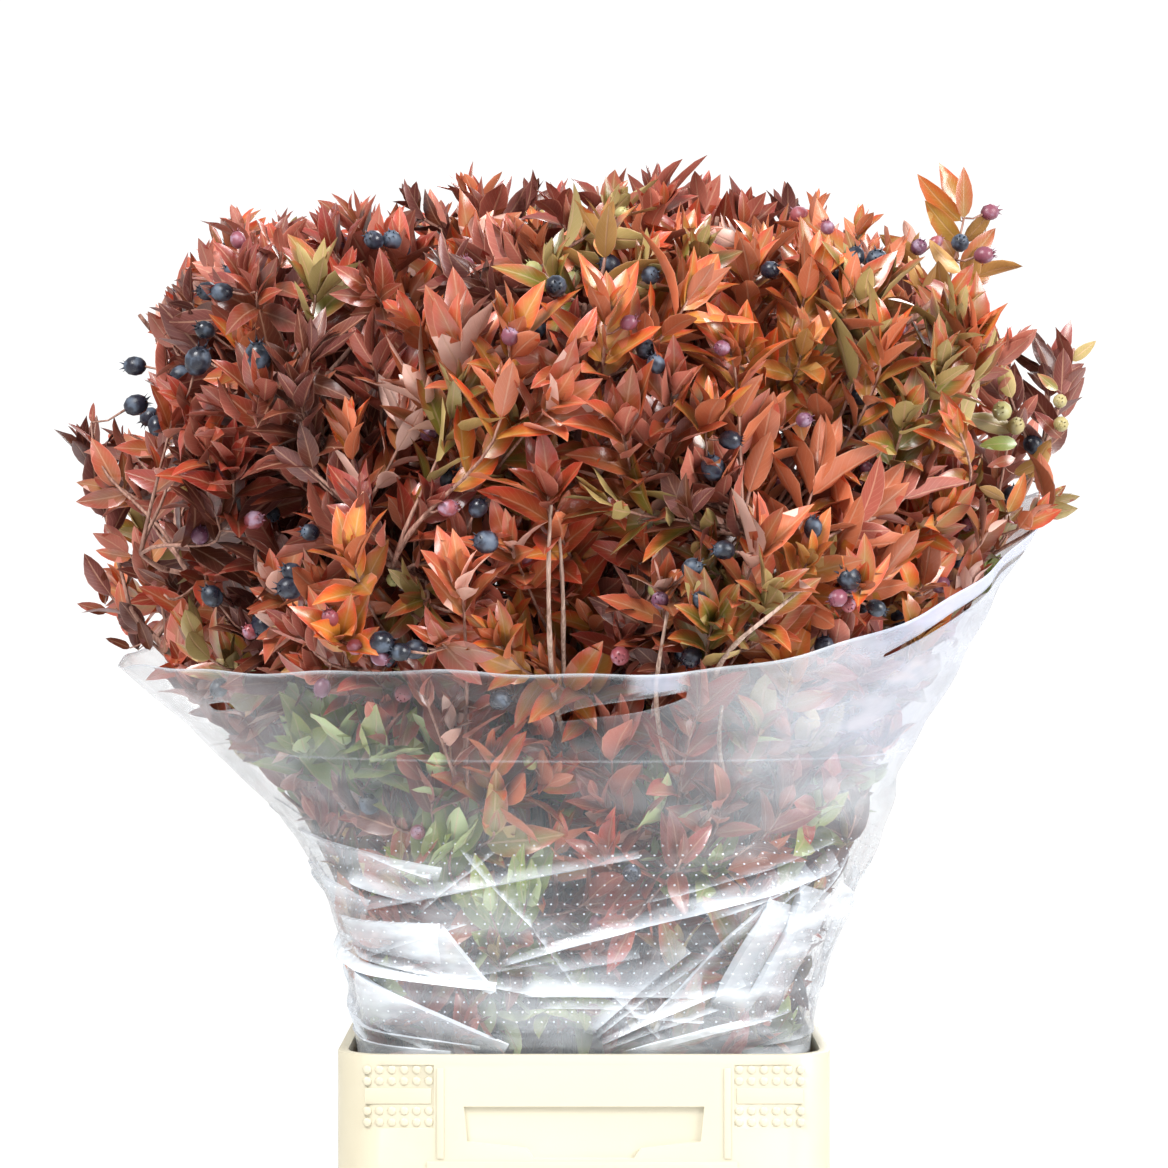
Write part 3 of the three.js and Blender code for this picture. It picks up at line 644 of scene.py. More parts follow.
# Shoots that stand out in the photograph: the place of the tip and of the foot in its pixels, the
# tint, the leafy length, the scale of the leaves, and for some the depth where they stand
SHOWN_SHOOTS = (
    ((597, 186), (602, 262), "rust", 0.05, 1.15, -0.06),
    ((655, 196), (648, 270), "rust", 0.05, 1.05, -0.06),
    ((612, 214), (606, 300), "olive", 0.045, 1.25, -0.13),
    ((700, 214), (694, 280), "russet", 0.045, 1.0, -0.06),
    ((788, 222), (792, 290), "maroon", 0.05, 1.0, -0.06), ((462, 348), (484, 440), "blush", 0.06, 1.3),
    ((512, 344), (497, 440), "copper", 0.055, 1.3), ((430, 402), (478, 452), "blush", 0.045, 1.25),
    ((552, 404), (500, 458), "blush", 0.045, 1.2), ((606, 318), (604, 410), "copper", 0.06, 1.25),
    ((688, 300), (650, 372), "copper", 0.055, 1.25), ((752, 276), (742, 360), "copper", 0.055, 1.15),
    ((806, 290), (790, 372), "copper", 0.055, 1.2), ((846, 296), (832, 372), "copper", 0.05, 1.15),
    ((622, 426), (640, 530), "russet", 0.075, 1.15), ((672, 392), (668, 500), "russet", 0.075, 1.15),
    ((706, 420), (700, 520), "copper", 0.06, 1.1), ((820, 470), (780, 590), "copper", 0.085, 1.25),
    ((866, 512), (800, 604), "copper", 0.075, 1.2), ((756, 552), (728, 640), "blush", 0.06, 1.15),
    ((712, 622), (700, 690), "olive", 0.05, 1.2), ((664, 588), (660, 700), "blush", 0.065, 1.15),
    ((766, 600), (740, 664), "olive", 0.05, 1.1), ((866, 300), (880, 400), "olive", 0.07, 1.15),
    ((950, 330), (930, 420), "olive", 0.07, 1.1), ((940, 372), (915, 470), "olive", 0.065, 1.1),
    ((905, 420), (880, 510), "olive", 0.065, 1.1), ((884, 352), (870, 450), "copper", 0.06, 1.1),
    ((968, 344), (950, 420), "copper", 0.055, 1.1), ((548, 492), (552, 600), "russet", 0.11, 1.2),
    ((512, 548), (548, 640), "blush", 0.05, 1.05), ((462, 590), (470, 660), "blush", 0.045, 1.1),
    ((352, 560), (372, 640), "copper", 0.04, 1.1), ((340, 640), (362, 700), "copper", 0.04, 1.25),
    ((206, 452), (232, 540), "russet", 0.07, 1.15), ((232, 470), (244, 560), "rust", 0.06, 1.1),
    ((262, 392), (272, 480), "rust", 0.065, 1.1), ((316, 286), (318, 360), "olive", 0.045, 1.15),
    ((300, 400), (310, 470), "maroon", 0.06, 1.1), ((346, 742), (350, 800), "green", 0.06, 1.55),
    ((306, 752), (330, 810), "green", 0.05, 1.35), ((380, 760), (352, 812), "green", 0.05, 1.45),
    ((430, 862), (410, 900), "green", 0.045, 1.35), ((526, 900), (520, 966), "green", 0.05, 1.2),
    ((490, 912), (514, 972), "green", 0.045, 1.1), ((560, 1000), (556, 1040), "green", 0.04, 1.0),
    ((584, 1008), (578, 1044), "green", 0.03, 0.95), ((400, 866), (392, 912), "olive", 0.045, 1.3),
    ((452, 850), (436, 896), "green", 0.045, 1.45), ((498, 956), (508, 1004), "olive", 0.04, 1.0),
    ((380, 985), (396, 1030), "green", 0.035, 1.0), ((742, 940), (730, 990), "olive", 0.045, 1.05),
    ((806, 742), (790, 810), "olive", 0.05, 1.15), ((856, 716), (826, 780), "blush", 0.05, 1.15),
    ((790, 680), (776, 740), "ochre", 0.05, 1.1), ((612, 742), (602, 840), "russet", 0.085, 1.2),
    ((700, 706), (668, 790), "russet", 0.075, 1.2), ((492, 764), (486, 830), "copper", 0.05, 1.2),
    ((432, 800), (426, 860), "rust", 0.045, 1.2), ((720, 804), (724, 860), "russet", 0.05, 1.1),
    ((782, 806), (770, 860), "rust", 0.05, 1.15), ((760, 728), (748, 790), "olive", 0.05, 1.15),
)
SPRIG_SHOOTS = (
    ((964, 218), (941, 330), "ochre", 0.1, 0.95, -0.03),
    ((914, 256), (944, 314), "ochre", 0.04, 0.85, -0.045),
    ((986, 262), (957, 300), "ochre", 0.034, 0.85, -0.012),
    ((920, 286), (944, 322), "ochre", 0.036, 0.85, -0.05),
    ((982, 320), (950, 380), "ochre", 0.04, 0.9, -0.02),
    ((1050, 372), (1052, 490), "maroon", 0.06, 0.9, -0.01),
    ((1074, 348), (1061, 420), "rust", 0.045, 0.9, -0.022),
    ((1014, 392), (1002, 526), "maroon", 0.06, 0.9, -0.03),
    ((996, 352), (1014, 420), "rust", 0.04, 0.9, -0.04),
    ((1042, 464), (1008, 500), "ochre", 0.03, 0.85, -0.02),
    ((1038, 346), (1056, 400), "maroon", 0.04, 0.9, 0.0),
    ((108, 482), (166, 508), "russet", 0.045, 0.9, -0.04),
    ((158, 450), (186, 496), "rust", 0.045, 0.9, -0.05),
    ((122, 548), (178, 596), "russet", 0.045, 0.95, -0.035),
    ((96, 576), (156, 660), "maroon", 0.06, 0.8, -0.03),
)
# Single leaves of the sprigs: the place of the foot and of the tip in the photograph's pixels, the
# tint and the tip's depth
SPRIG_LEAVES = (
    ((964, 223), (963, 166), "ochre", -0.036), ((962, 217), (938, 163), "copper", -0.022),
    ((961, 221), (913, 178), "ochre", -0.03), ((961, 243), (922, 203), "ochre", -0.044),
    ((915, 264), (879, 230), "ochre", -0.05), ((915, 248), (902, 217), "blush", -0.036),
    ((961, 272), (922, 242), "ochre", -0.046), ((964, 242), (996, 209), "ochre", -0.012),
    ((961, 272), (997, 226), "ochre", -0.02), ((960, 290), (987, 258), "ochre", -0.006),
    ((928, 284), (910, 264), "ochre", -0.058), ((951, 296), (919, 277), "copper", -0.056),
    ((940, 312), (917, 286), "blush", -0.064), ((936, 322), (928, 306), "olive", -0.05),
    ((944, 314), (978, 286), "ochre", -0.036), ((958, 354), (986, 312), "ochre", -0.03),
    ((948, 368), (972, 336), "ochre", -0.016), ((908, 308), (899, 268), "maroon", -0.04),
    ((957, 262), (936, 226), "ochre", -0.004), ((950, 300), (972, 262), "copper", -0.052),
    ((1052, 366), (1072, 319), "rust", -0.016), ((1070, 358), (1096, 340), "olive", -0.024),
    ((1043, 366), (1036, 328), "maroon", 0.004), ((1054, 384), (1039, 336), "maroon", -0.026),
    ((1061, 397), (1064, 344), "maroon", -0.034), ((1064, 418), (1080, 372), "rust", -0.014),
    ((1042, 370), (1010, 350), "maroon", 0.006), ((1060, 432), (1019, 382), "maroon", -0.03),
    ((1061, 438), (1034, 412), "rust", -0.042), ((1058, 390), (1036, 374), "olive", -0.05),
    ((1052, 378), (1086, 366), "maroon", 0.01), ((1008, 370), (992, 328), "rust", -0.042),
    ((1004, 400), (969, 357), "maroon", -0.046), ((1012, 398), (999, 358), "olive", -0.056),
    ((1015, 412), (1014, 360), "maroon", -0.03), ((1015, 430), (961, 413), "olive", -0.052),
    ((1017, 444), (980, 443), "green", -0.056), ((1019, 424), (1036, 392), "rust", -0.04),
    ((1015, 458), (988, 467), "blush", -0.05), ((1014, 474), (1045, 460), "ochre", -0.034),
    ((1051, 488), (1042, 468), "copper", -0.01), ((1005, 500), (976, 484), "ochre", -0.05),
    ((1008, 512), (1028, 474), "ochre", -0.036), ((1004, 516), (991, 486), "olive", -0.046),
    ((114, 487), (90, 437), "russet", -0.046), ((159, 452), (114, 449), "russet", -0.06),
    ((165, 464), (167, 434), "rust", -0.046), ((126, 494), (121, 450), "blush", -0.02),
    ((114, 488), (76, 484), "blush", -0.024), ((124, 494), (76, 506), "russet", -0.046),
    ((128, 494), (141, 466), "maroon", -0.05), ((181, 490), (122, 470), "russet", -0.07),
    ((172, 508), (121, 507), "rust", -0.06), ((132, 554), (95, 553), "russet", -0.04),
    ((148, 566), (131, 526), "russet", -0.05), ((148, 566), (170, 529), "blush", -0.046),
    ((146, 570), (110, 551), "maroon", -0.024), ((143, 577), (117, 569), "maroon", -0.044),
    ((166, 584), (136, 571), "maroon", -0.05), ((190, 618), (141, 582), "russet", -0.056),
    ((107, 612), (77, 604), "rust", -0.036), ((105, 604), (99, 575), "russet", -0.02),
    ((126, 616), (117, 581), "russet", -0.038), ((150, 650), (140, 618), "maroon", -0.04),
    ((155, 656), (168, 634), "russet", -0.036), ((138, 650), (134, 615), "maroon", -0.014),
    ((130, 648), (106, 638), "maroon", -0.026),
)
SPRIG_LEAF_DEPTH = 0.30
SPRIG_STALK = 0.006
SPRIG_MARGIN = 0.012


def shown_line(tip, foot, depth=None):
    """The line of a shoot that stands out: from the nearest limb past its foot to its tip."""
    end = front_point(*tip, depth)
    low = front_point(*foot, depth, FRONT_DEPTH + 0.018)
    start = nearest_limb(low, unit(end - low))
    return bezier((start, low * 0.7 + start * 0.3, low + (end - low) * 0.55, end), line_shares)


shoots = []
shoot_dice = np.random.default_rng(SEED + 1)
for order, (tip, foot, tint, leafy, scale, *depth) in enumerate(SHOWN_SHOOTS + SPRIG_SHOOTS):
    dice = np.random.default_rng(SEED * 2000 + order)
    line = shown_line(tip, foot, *depth)
    place = "shown" if order < len(SHOWN_SHOOTS) else "sprig"
    shoots.append(dict(line=line, place=place, tint=tint, dice=dice, leafy=leafy, scale=scale))
ends = np.array([shoot["line"][-1] for shoot in shoots])
shown_count = len(ends)
low_corner = (sites - reaches[:, None]).min(axis=0)
low_corner[2] = LOWEST_LEAF
high_corner = (sites + reaches[:, None]).max(axis=0)
ends = spread_out(shoot_dice.uniform(low_corner, high_corner, (CANDIDATES, 3)), OUTER_BAND, ends)
kept = np.ones(len(ends), bool)
for mass in masses:
    if mass["kind"].startswith("sprig"):
        kept &= np.linalg.norm(ends - mass["site"], axis=1) / (mass["reach"] + SPRIG_MARGIN) > 1
kept[:shown_count] = True
ends = ends[kept]
outer_count = len(ends)
ends = spread_out(shoot_dice.uniform(low_corner, high_corner, (CANDIDATES, 3)), INNER_BAND, ends)
for order in range(shown_count, len(ends)):
    dice = np.random.default_rng(SEED * 1000 + order)
    line = shoot_towards(ends[order], dice)
    place = "outer" if order < outer_count else "inner"
    shoots.append(dict(line=line, place=place, tint=None, dice=dice, leafy=None, scale=1))

# The leaves: leathery, pointed and folded along the midrib, in crossed pairs that stand closer
# towards a shoot's end. Autumn has turned them rust, copper, maroon and olive, a shoot at a time.
# A leaf's rows along it and columns across it, for leaves near the outline and deep in the bunch
BLADE_GRIDS = dict(
    near=(np.array([0.0, 0.10, 0.25, 0.43, 0.62, 0.82, 1.0]), np.array([-1.0, 0.0, 1.0])),
    deep=(np.array([0.0, 0.18, 0.44, 0.74, 1.0]), np.array([-1.0, 0.0, 1.0])),
)
DEEP_FROM = 0.034
LEAF_BREADTH = (0.34, 0.44)
LEAF_THICKNESS = 0.014
LEAF_VARIANTS = 10
LEAF_LONGEST = 0.051
LEAF_SHORTEST = 0.034
PAIR_SPACING = dict(outer=0.0135, inner=0.0135, shown=0.0130, sprig=0.0165)
LEAFY_LENGTH = dict(outer=0.072, inner=0.060)
SHORTENED = 0.7
TINT_SLOTS = dict(
    rust="rust", russet="rust", blush="copper", copper="copper",
    maroon="maroon", olive="olive", ochre="olive", green="olive",
)
TINTS = tuple(TINT_SLOTS)
# How often each of the tints comes up all round the crown, deep inside it and in the film
SHARES_ALL_ROUND = (0.28, 0.25, 0.05, 0.17, 0.14, 0.09, 0.02, 0.0)
# Deep inside, the dark maroon comes up far more often: painted shade for the crown's dark heart
SHADED_INSIDE_SHARES = (0.28, 0.13, 0.03, 0.06, 0.43, 0.07, 0.0, 0.0)
SHARES_IN_FILM = (0.16, 0.19, 0.08, 0.06, 0.16, 0.20, 0.05, 0.10)
# Parts of the crown where the shoots have turned another way: the middle, how far, and the shares
TINT_ZONES = (
    ((0.240, -0.060, 0.735), 0.060, (0.12, 0.10, 0.06, 0.24, 0.10, 0.34, 0.04, 0.0)),
    ((0.270, -0.060, 0.675), 0.060, (0.15, 0.12, 0.05, 0.12, 0.12, 0.38, 0.06, 0.0)),
    ((0.200, -0.150, 0.690), 0.070, (0.08, 0.14, 0.10, 0.30, 0.03, 0.27, 0.08, 0.0)),
    ((0.120, -0.180, 0.765), 0.110, (0.06, 0.12, 0.08, 0.55, 0.0, 0.08, 0.11, 0.0)),
    ((-0.050, -0.240, 0.720), 0.075, (0.12, 0.15, 0.20, 0.36, 0.04, 0.10, 0.03, 0.0)),
    ((0.090, -0.250, 0.590), 0.080, (0.15, 0.20, 0.13, 0.20, 0.10, 0.16, 0.06, 0.0)),
    ((0.190, -0.180, 0.620), 0.080, (0.09, 0.16, 0.11, 0.37, 0.05, 0.14, 0.08, 0.0)),
    ((-0.230, -0.120, 0.610), 0.110, (0.32, 0.20, 0.06, 0.04, 0.32, 0.06, 0.0, 0.0)),
    ((-0.160, -0.160, 0.740), 0.130, (0.44, 0.24, 0.05, 0.08, 0.17, 0.02, 0.0, 0.0)),
)
# How far from a shoot's tip its youngest pairs stand, and where the even spacing begins
TIP_PAIRS = ((0.0, 0.0035, 0.008), 0.014)
SPRIG_TIP_PAIRS = ((0.0, 0.006), 0.016)
SHOWN_SCALE = 0.87
LEAF_WANDER, FACING_WANDER = 0.07, 0.20
SPRIG_FACING_WANDER = 0.30
SPRIG_UPPER_SIDES = 0.75


def leaf_blade(stations, columns, breadth, fold, curl, sway, wave):
    """One leaf a unit long, from its base along +X with its upper side up. Columns run across it."""
    width = stations**0.68 * (1 - stations) ** 0.98
    width *= breadth / 2 / width.max()
    steps = np.diff(stations, prepend=0)
    slope = -curl * (stations - 0.25)
    forward = np.cumsum(steps * np.cos(slope))
    drop = np.cumsum(steps * np.sin(slope))
    aside = sway * stations**2
    points = []
    for row in range(1, len(stations) - 1):
        ripple = wave * math.sin(stations[row] * 9.0)
        for column in columns:
            lateral = column * width[row] * math.cos(fold)
            lift = abs(column) ** 1.3 * width[row] * (math.sin(fold) + ripple * np.sign(column))
            tilt = slope[row]
            along, up = forward[row] - lift * math.sin(tilt), drop[row] + lift * math.cos(tilt)
            points.append((along, aside[row] + lateral, up))
    for row in range(1, len(stations) - 1):
        points.append((forward[row], aside[row], drop[row] - LEAF_THICKNESS))
    tip = (forward[-1], aside[-1], drop[-1])
    return np.array([(0, 0, 0), *points, tip])


def blade_faces(rows, columns):
    """The triangles of a leaf, the upper skin first, then the underside of two strips, and how many
    are on the upper skin. The margin is the set of its edge pairs."""
    upper = 1 + np.arange(rows * columns).reshape(rows, columns)
    tip = 1 + rows * columns + rows
    faces = []
    for column in range(columns - 1):
        faces.append((0, upper[0, column], upper[0, column + 1]))
        faces.append((upper[-1, column], tip, upper[-1, column + 1]))
        for row in range(rows - 1):
            a, b = upper[row, column:column + 2]
            d, c = upper[row + 1, column:column + 2]
            faces += [(a, d, c), (a, c, b)]
    count_upper = len(faces)
    middle = [0, *(1 + rows * columns + row for row in range(rows)), tip]
    margin = np.zeros((tip + 1, tip + 1), bool)
    for side in (0, columns - 1):
        ring = [0, *upper[:, side], tip]
        for step in range(rows + 1):
            a, b, c, d = ring[step], ring[step + 1], middle[step + 1], middle[step]
            margin[a, b] = margin[b, a] = True
            split = [(a, b, c)] if a == d else [(a, b, d)] if b == c else [(a, b, c), (a, c, d)]
            faces += [part[::-1] if side == 0 else part for part in split]
    return np.array(faces), count_upper, margin


def blade_flat_map(stations, columns):
    """Where each point of a leaf lies on it, as shares along and across."""
    rows = stations[1:-1]
    inner = [(along, 0.5 + column / 2) for along in rows for column in columns]
    return np.array([(0, 0.5), *inner, *((along, 0.5) for along in rows), (1, 0.5)])


def make_blades(stations, columns):
    dice = np.random.default_rng(SEED)
    shapes = [
        leaf_blade(
            stations,
            columns,
            breadth=dice.uniform(*LEAF_BREADTH),
            fold=dice.uniform(0.12, 0.52),
            curl=dice.uniform(-0.15, 0.75),
            sway=dice.uniform(-0.07, 0.07),
            wave=dice.uniform(-0.22, 0.22),
        )
        for _ in range(LEAF_VARIANTS)
    ]
    faces, count_upper, margin = blade_faces(len(stations) - 2, len(columns))
    return dict(
        shapes=np.array(shapes), faces=faces, upper=count_upper, margin=margin,
        flat=blade_flat_map(stations, columns),
    )


BLADES = {kind: make_blades(*grid) for kind, grid in BLADE_GRIDS.items()}


def triangle_mesh(name, points, faces, flat_map=None, shades=None):
    """A mesh from arrays of points and triangles, with a flat map and a shade for each point."""
    mesh = bpy.data.meshes.new(name)
    mesh.vertices.add(len(points))
    mesh.vertices.foreach_set("co", np.asarray(points, np.float32).ravel())
    mesh.loops.add(faces.size)
    mesh.loops.foreach_set("vertex_index", faces.astype(np.int32).ravel())
    mesh.polygons.add(len(faces))
    mesh.polygons.foreach_set("loop_start", np.arange(0, faces.size, 3, dtype=np.int32))
    if flat_map is not None:
        layer = mesh.uv_layers.new(name="flat_map")
        layer.data.foreach_set("uv", flat_map[faces.ravel()].astype(np.float32).ravel())
    if shades is not None:
        attribute = mesh.attributes.new("shade", "FLOAT", "POINT")
        attribute.data.foreach_set("value", np.asarray(shades, np.float32))
    mesh.update(calc_edges=True)
    mesh.polygons.foreach_set("use_smooth", np.ones(len(faces), bool))
    return mesh


def tint_of(shoot):
    """The tint of a shoot: a fixed one, that of a zone it stands in, or one dealt out at random."""
    if shoot["tint"]:
        return shoot["tint"]
    tip = shoot["line"][-1]
    low_down = tip[2] < rim_height(math.atan2(tip[1], tip[0])) - 0.01
    # Inner shoots draw mostly dark maroon and rust, painted shade deep in the crown
    shares = SHARES_IN_FILM if low_down else SHADED_INSIDE_SHARES if shoot["place"] == "inner" else SHARES_ALL_ROUND
    for middle, reach, zone_shares in TINT_ZONES:
        if np.linalg.norm(tip - middle) < reach:
            shares = zone_shares
            break
    return TINTS[shoot["dice"].choice(len(TINTS), p=shares)]


def point_on(line, at):
    """The place at a fractional step of a line, and the line's direction there."""
    low = min(max(int(at), 0), len(line) - 2)
    step = line[low + 1] - line[low]
    return line[low] + step * (at - low), unit(step)


def leaves_of(shoot):
    """The leaves of one shoot: base, along, upper side and length of each."""
    dice, line = shoot["dice"], shoot["line"]
    length = np.linalg.norm(np.diff(line, axis=0), axis=1).sum()
    leafy = min(length * 0.9, shoot["leafy"] or LEAFY_LENGTH[shoot["place"]] * dice.uniform(0.75, 1.2))
    spacing = PAIR_SPACING[shoot["place"]] * dice.uniform(0.85, 1.2)
    pairs = max(int(leafy / spacing), 1)
    near_tip, begin = SPRIG_TIP_PAIRS if shoot["place"] == "sprig" else TIP_PAIRS
    from_tip = np.concatenate([near_tip, begin + np.arange(pairs) * spacing])
    from_tip = from_tip[from_tip < max(leafy, 0.012)]
    youngest = 0.50 if shoot["scale"] == 1 else 0.70
    turn = dice.uniform(0, math.pi)
    scale = dice.uniform(0.80, 1.08) if shoot["scale"] == 1 else SHOWN_SCALE * shoot["scale"]
    found = []
    for order, back in enumerate(from_tip):
        node, along = point_on(line, (1 - back / length) * (len(line) - 1))
        side = unit(np.cross(along, UP if abs(along[2]) < 0.9 else [1.0, 0, 0]))
        other = np.cross(along, side)
        turn += math.pi / 2 + dice.normal(0, 0.16)
        ripe = min(1.0, youngest + 0.15 * order)
        size = (LEAF_SHORTEST + (LEAF_LONGEST - LEAF_SHORTEST) * dice.random() ** 0.8) * scale * ripe
        spread = math.radians(11 + 8.0 * min(order, 4)) * dice.uniform(0.80, 1.25)
        for way in (0, math.pi):
            away = side * math.cos(turn + way) + other * math.sin(turn + way)
            tilt = spread * dice.uniform(0.8, 1.2)
            wandering = dice.normal(0, LEAF_WANDER, 3)
            heading = unit(along * math.cos(tilt) + away * math.sin(tilt) + wandering)
            facing = unit(along - heading * (along @ heading) + dice.normal(0, FACING_WANDER, 3))
            facing = unit(facing - heading * (facing @ heading))
            found.append((node + away * 0.0008, heading, facing, size * dice.uniform(0.88, 1.1)))
    return found


def fitting(points, place):
    """Whether leaves that end here stay in the film and the outline, and hide no sky or sprig."""
    if place == "sprig":
        return film_room(points) > 0
    overhang = SHOWN_OVERHANG if place == "shown" else LEAF_OVERHANG
    fits = (outline_room(points) > -overhang) & (film_room(points) > 0)
    return fits if place == "shown" else fits & outside_discs(points, SKY) & clear_of_sprigs(points)


leaves = {(tint, depth): [] for tint in TINTS for depth in BLADE_GRIDS}
for shoot in shoots:
    tint, place, dice = tint_of(shoot), shoot["place"], shoot["dice"]
    base, heading, facing, size = (np.array(part) for part in zip(*leaves_of(shoot)))
    reach = heading * size[:, None]
    fits, shorter = fitting(base + reach, place), fitting(base + reach * SHORTENED, place)
    if place == "sprig":
        fits &= np.abs(heading[:, 1]) > SPRIG_LEAF_DEPTH
        shorter = fits
    tone = dice.uniform(0, 1)
    buried = room_left(base + reach * 0.5) > DEEP_FROM
    for leaf in np.flatnonzero(fits | shorter):
        length = size[leaf] if fits[leaf] else size[leaf] * SHORTENED
        shade = np.clip(tone * 0.6 + dice.uniform(0, 0.4), 0, 1)
        variant = dice.integers(LEAF_VARIANTS)
        grid = "deep" if buried[leaf] else "near"
        leaves[tint, grid].append((base[leaf], heading[leaf], facing[leaf], length, shade, variant))

shoot_points = np.concatenate([shoot["line"][2:] for shoot in shoots])
sprig_points = np.concatenate([shoot["line"][2:] for shoot in shoots if shoot["place"] == "sprig"])
leaf_stalks = []
for order, (foot, tip, tint, depth) in enumerate(SPRIG_LEAVES):
    dice = np.random.default_rng(SEED * 4000 + order)
    start, end = seen_at(*foot, depth + 0.006), seen_at(*tip, depth)
    node = sprig_points[np.linalg.norm(sprig_points - start, axis=1).argmin()]
    if np.linalg.norm(start - node) < SPRIG_STALK:
        start = node
    else:
        leaf_stalks.append(np.array([node, (node + start) / 2 - UP * 0.001, start]))
    size = np.linalg.norm(end - start)
    heading = (end - start) / size
    side_shown = 1 if dice.random() < SPRIG_UPPER_SIDES else -1
    facing = np.array([0, -1.0, 0]) * side_shown + dice.normal(0, SPRIG_FACING_WANDER, 3)
    facing = unit(facing - heading * (facing @ heading))
    shade, variant = dice.uniform(0, 1), dice.integers(LEAF_VARIANTS)
    leaves[tint, "near"].append((start, heading, facing, size, shade, variant))

# Each tint: its upper side's two tones, its underside's, and how far the second tone spreads
LEAF_LOOKS = dict(
    rust=((0.225, 0.020, 0.013), (0.195, 0.047, 0.017), (0.30, 0.082, 0.058), 0.9),
    russet=((0.35, 0.034, 0.016), (0.28, 0.080, 0.022), (0.41, 0.125, 0.086), 1.0),
    blush=((0.41, 0.072, 0.032), (0.38, 0.155, 0.052), (0.66, 0.40, 0.33), 1.0),
    copper=((0.50, 0.052, 0.013), (0.39, 0.175, 0.028), (0.48, 0.140, 0.065), 1.25),
    maroon=((0.082, 0.014, 0.010), (0.130, 0.034, 0.014), (0.165, 0.052, 0.044), 0.6),
    olive=((0.30, 0.056, 0.015), (0.170, 0.150, 0.020), (0.35, 0.265, 0.10), 1.3),
    ochre=((0.46, 0.110, 0.024), (0.37, 0.200, 0.036), (0.45, 0.245, 0.075), 1.2),
    green=((0.21, 0.23, 0.038), (0.20, 0.29, 0.048), (0.39, 0.48, 0.23), 0.6),
)
LEAF_GLOSS, DARK_LEAF_GLOSS, UNDERSIDE_GLOSS = 0.85, 0.45, 0.25
LEAF_VEINS, UNDERSIDE_VEINS = 0.30, 0.45
COAT_ROUGHNESS = 0.20
VEIN_COLOUR = (0.62, 0.36, 0.24, 1)


def plus(tree, first, *others):
    for other in others:
        first = arithmetic(tree, "ADD", first, other)
    return first


def times(tree, first, *others):
    for other in others:
        first = arithmetic(tree, "MULTIPLY", first, other)
    return first


def attribute(tree, name):
    node = tree.nodes.new("ShaderNodeAttribute")
    node.attribute_name = name
    return node.outputs["Fac"]


def surface_effect(name, **inputs):
    """A node group for several materials: colour, roughness and height over the surface."""
    group = bpy.data.node_groups.new(name, "ShaderNodeTree")
    for label, kind in inputs.items():
        label = label.replace("_", " ")
        group.interface.new_socket(label, in_out="INPUT", socket_type=f"NodeSocket{kind}")
    for label, kind in dict(Colour="Color", Roughness="Float", Height="Float").items():
        group.interface.new_socket(label, in_out="OUTPUT", socket_type=f"NodeSocket{kind}")
    given = group.nodes.new("NodeGroupInput").outputs
    return group, given, group.nodes.new("NodeGroupOutput").inputs


def effect_material(name, effect, distance, strength, **values):
    """A material that wears an effect with its own values, raised by this distance and strength."""
    material, tree, shader = node_material(name)
    worn = tree.nodes.new("ShaderNodeGroup")
    worn.node_tree = effect
    for label, value in values.items():
        value = (*value, 1) if isinstance(value, tuple) else value
        worn.inputs[label.replace("_", " ")].default_value = value
    feed(tree, shader.inputs["Base Color"], worn.outputs["Colour"])
    feed(tree, shader.inputs["Roughness"], worn.outputs["Roughness"])
    raise_surface(tree, shader, worn.outputs["Height"], distance, strength)
    return material, shader


# The effect all leaves share: two tones by leaf, blotches, a pale midrib and fine side veins
leaf_surface, given, result = surface_effect(
    "leaf_surface", Tone="Color", Second_Tone="Color", Vein="Float", Change="Float"
)
shade = attribute(leaf_surface, "shade")
blotch = cloudy(leaf_surface, object_coordinates(leaf_surface), 95.0, 3.0)
flat = leaf_surface.nodes.new("ShaderNodeUVMap")
flat.uv_map = "flat_map"
split = new_node(leaf_surface, "ShaderNodeSeparateXYZ", Vector=flat.outputs["UV"]).outputs
off_middle = arithmetic(leaf_surface, "SUBTRACT", split["Y"], 0.5)
off_middle = arithmetic(leaf_surface, "ABSOLUTE", off_middle)
outward = plus(leaf_surface, times(leaf_surface, off_middle, 1.5), times(leaf_surface, split["X"], 0.8))
inward = times(leaf_surface, arithmetic(leaf_surface, "SUBTRACT", 0.85, outward), given["Change"])
share = arithmetic(leaf_surface, "MULTIPLY_ADD", blotch, 0.9, -0.45)
share = plus(leaf_surface, share, times(leaf_surface, shade, 0.8))
share = arithmetic(leaf_surface, "ADD", share, inward, clamp=True)
slant = arithmetic(leaf_surface, "SUBTRACT", split["X"], times(leaf_surface, off_middle, 0.5))
side_veins = arithmetic(leaf_surface, "SINE", times(leaf_surface, slant, 60.0))
side_veins = times(leaf_surface, remap(leaf_surface, side_veins, 0.75, 1.0), 0.25)
midrib = remap(leaf_surface, off_middle, 0.015, 0.06, 1.0, 0.0)
margin = times(leaf_surface, remap(leaf_surface, off_middle, 0.45, 0.495), 0.9)
drawn = arithmetic(leaf_surface, "MAXIMUM", midrib, side_veins)
drawn = times(leaf_surface, arithmetic(leaf_surface, "MAXIMUM", drawn, margin), given["Vein"])
body = blend_colours(leaf_surface, share, given["Tone"], given["Second Tone"])
pale = blend_colours(leaf_surface, drawn, body, VEIN_COLOUR)
apart = arithmetic(leaf_surface, "FRACT", times(leaf_surface, shade, 17.3))
brightness = plus(leaf_surface, times(leaf_surface, apart, 0.75), 0.65)
toned = new_node(leaf_surface, "ShaderNodeHueSaturation", Value=brightness, Color=pale)
feed(leaf_surface, result["Colour"], toned.outputs["Color"])
feed(leaf_surface, result["Roughness"], remap(leaf_surface, blotch, 0.3, 0.7, 0.28, 0.46))
feed(leaf_surface, result["Height"], times(leaf_surface, drawn, -1.0))


def leaf_material(name, tone, second, vein, change, gloss):
    material, shader = effect_material(
        name, leaf_surface, 0.0006, 0.6, Tone=tone, Second_Tone=second, Vein=vein, Change=change
    )
    shader.inputs["Coat Weight"].default_value = gloss
    shader.inputs["Coat Roughness"].default_value = COAT_ROUGHNESS
    return material


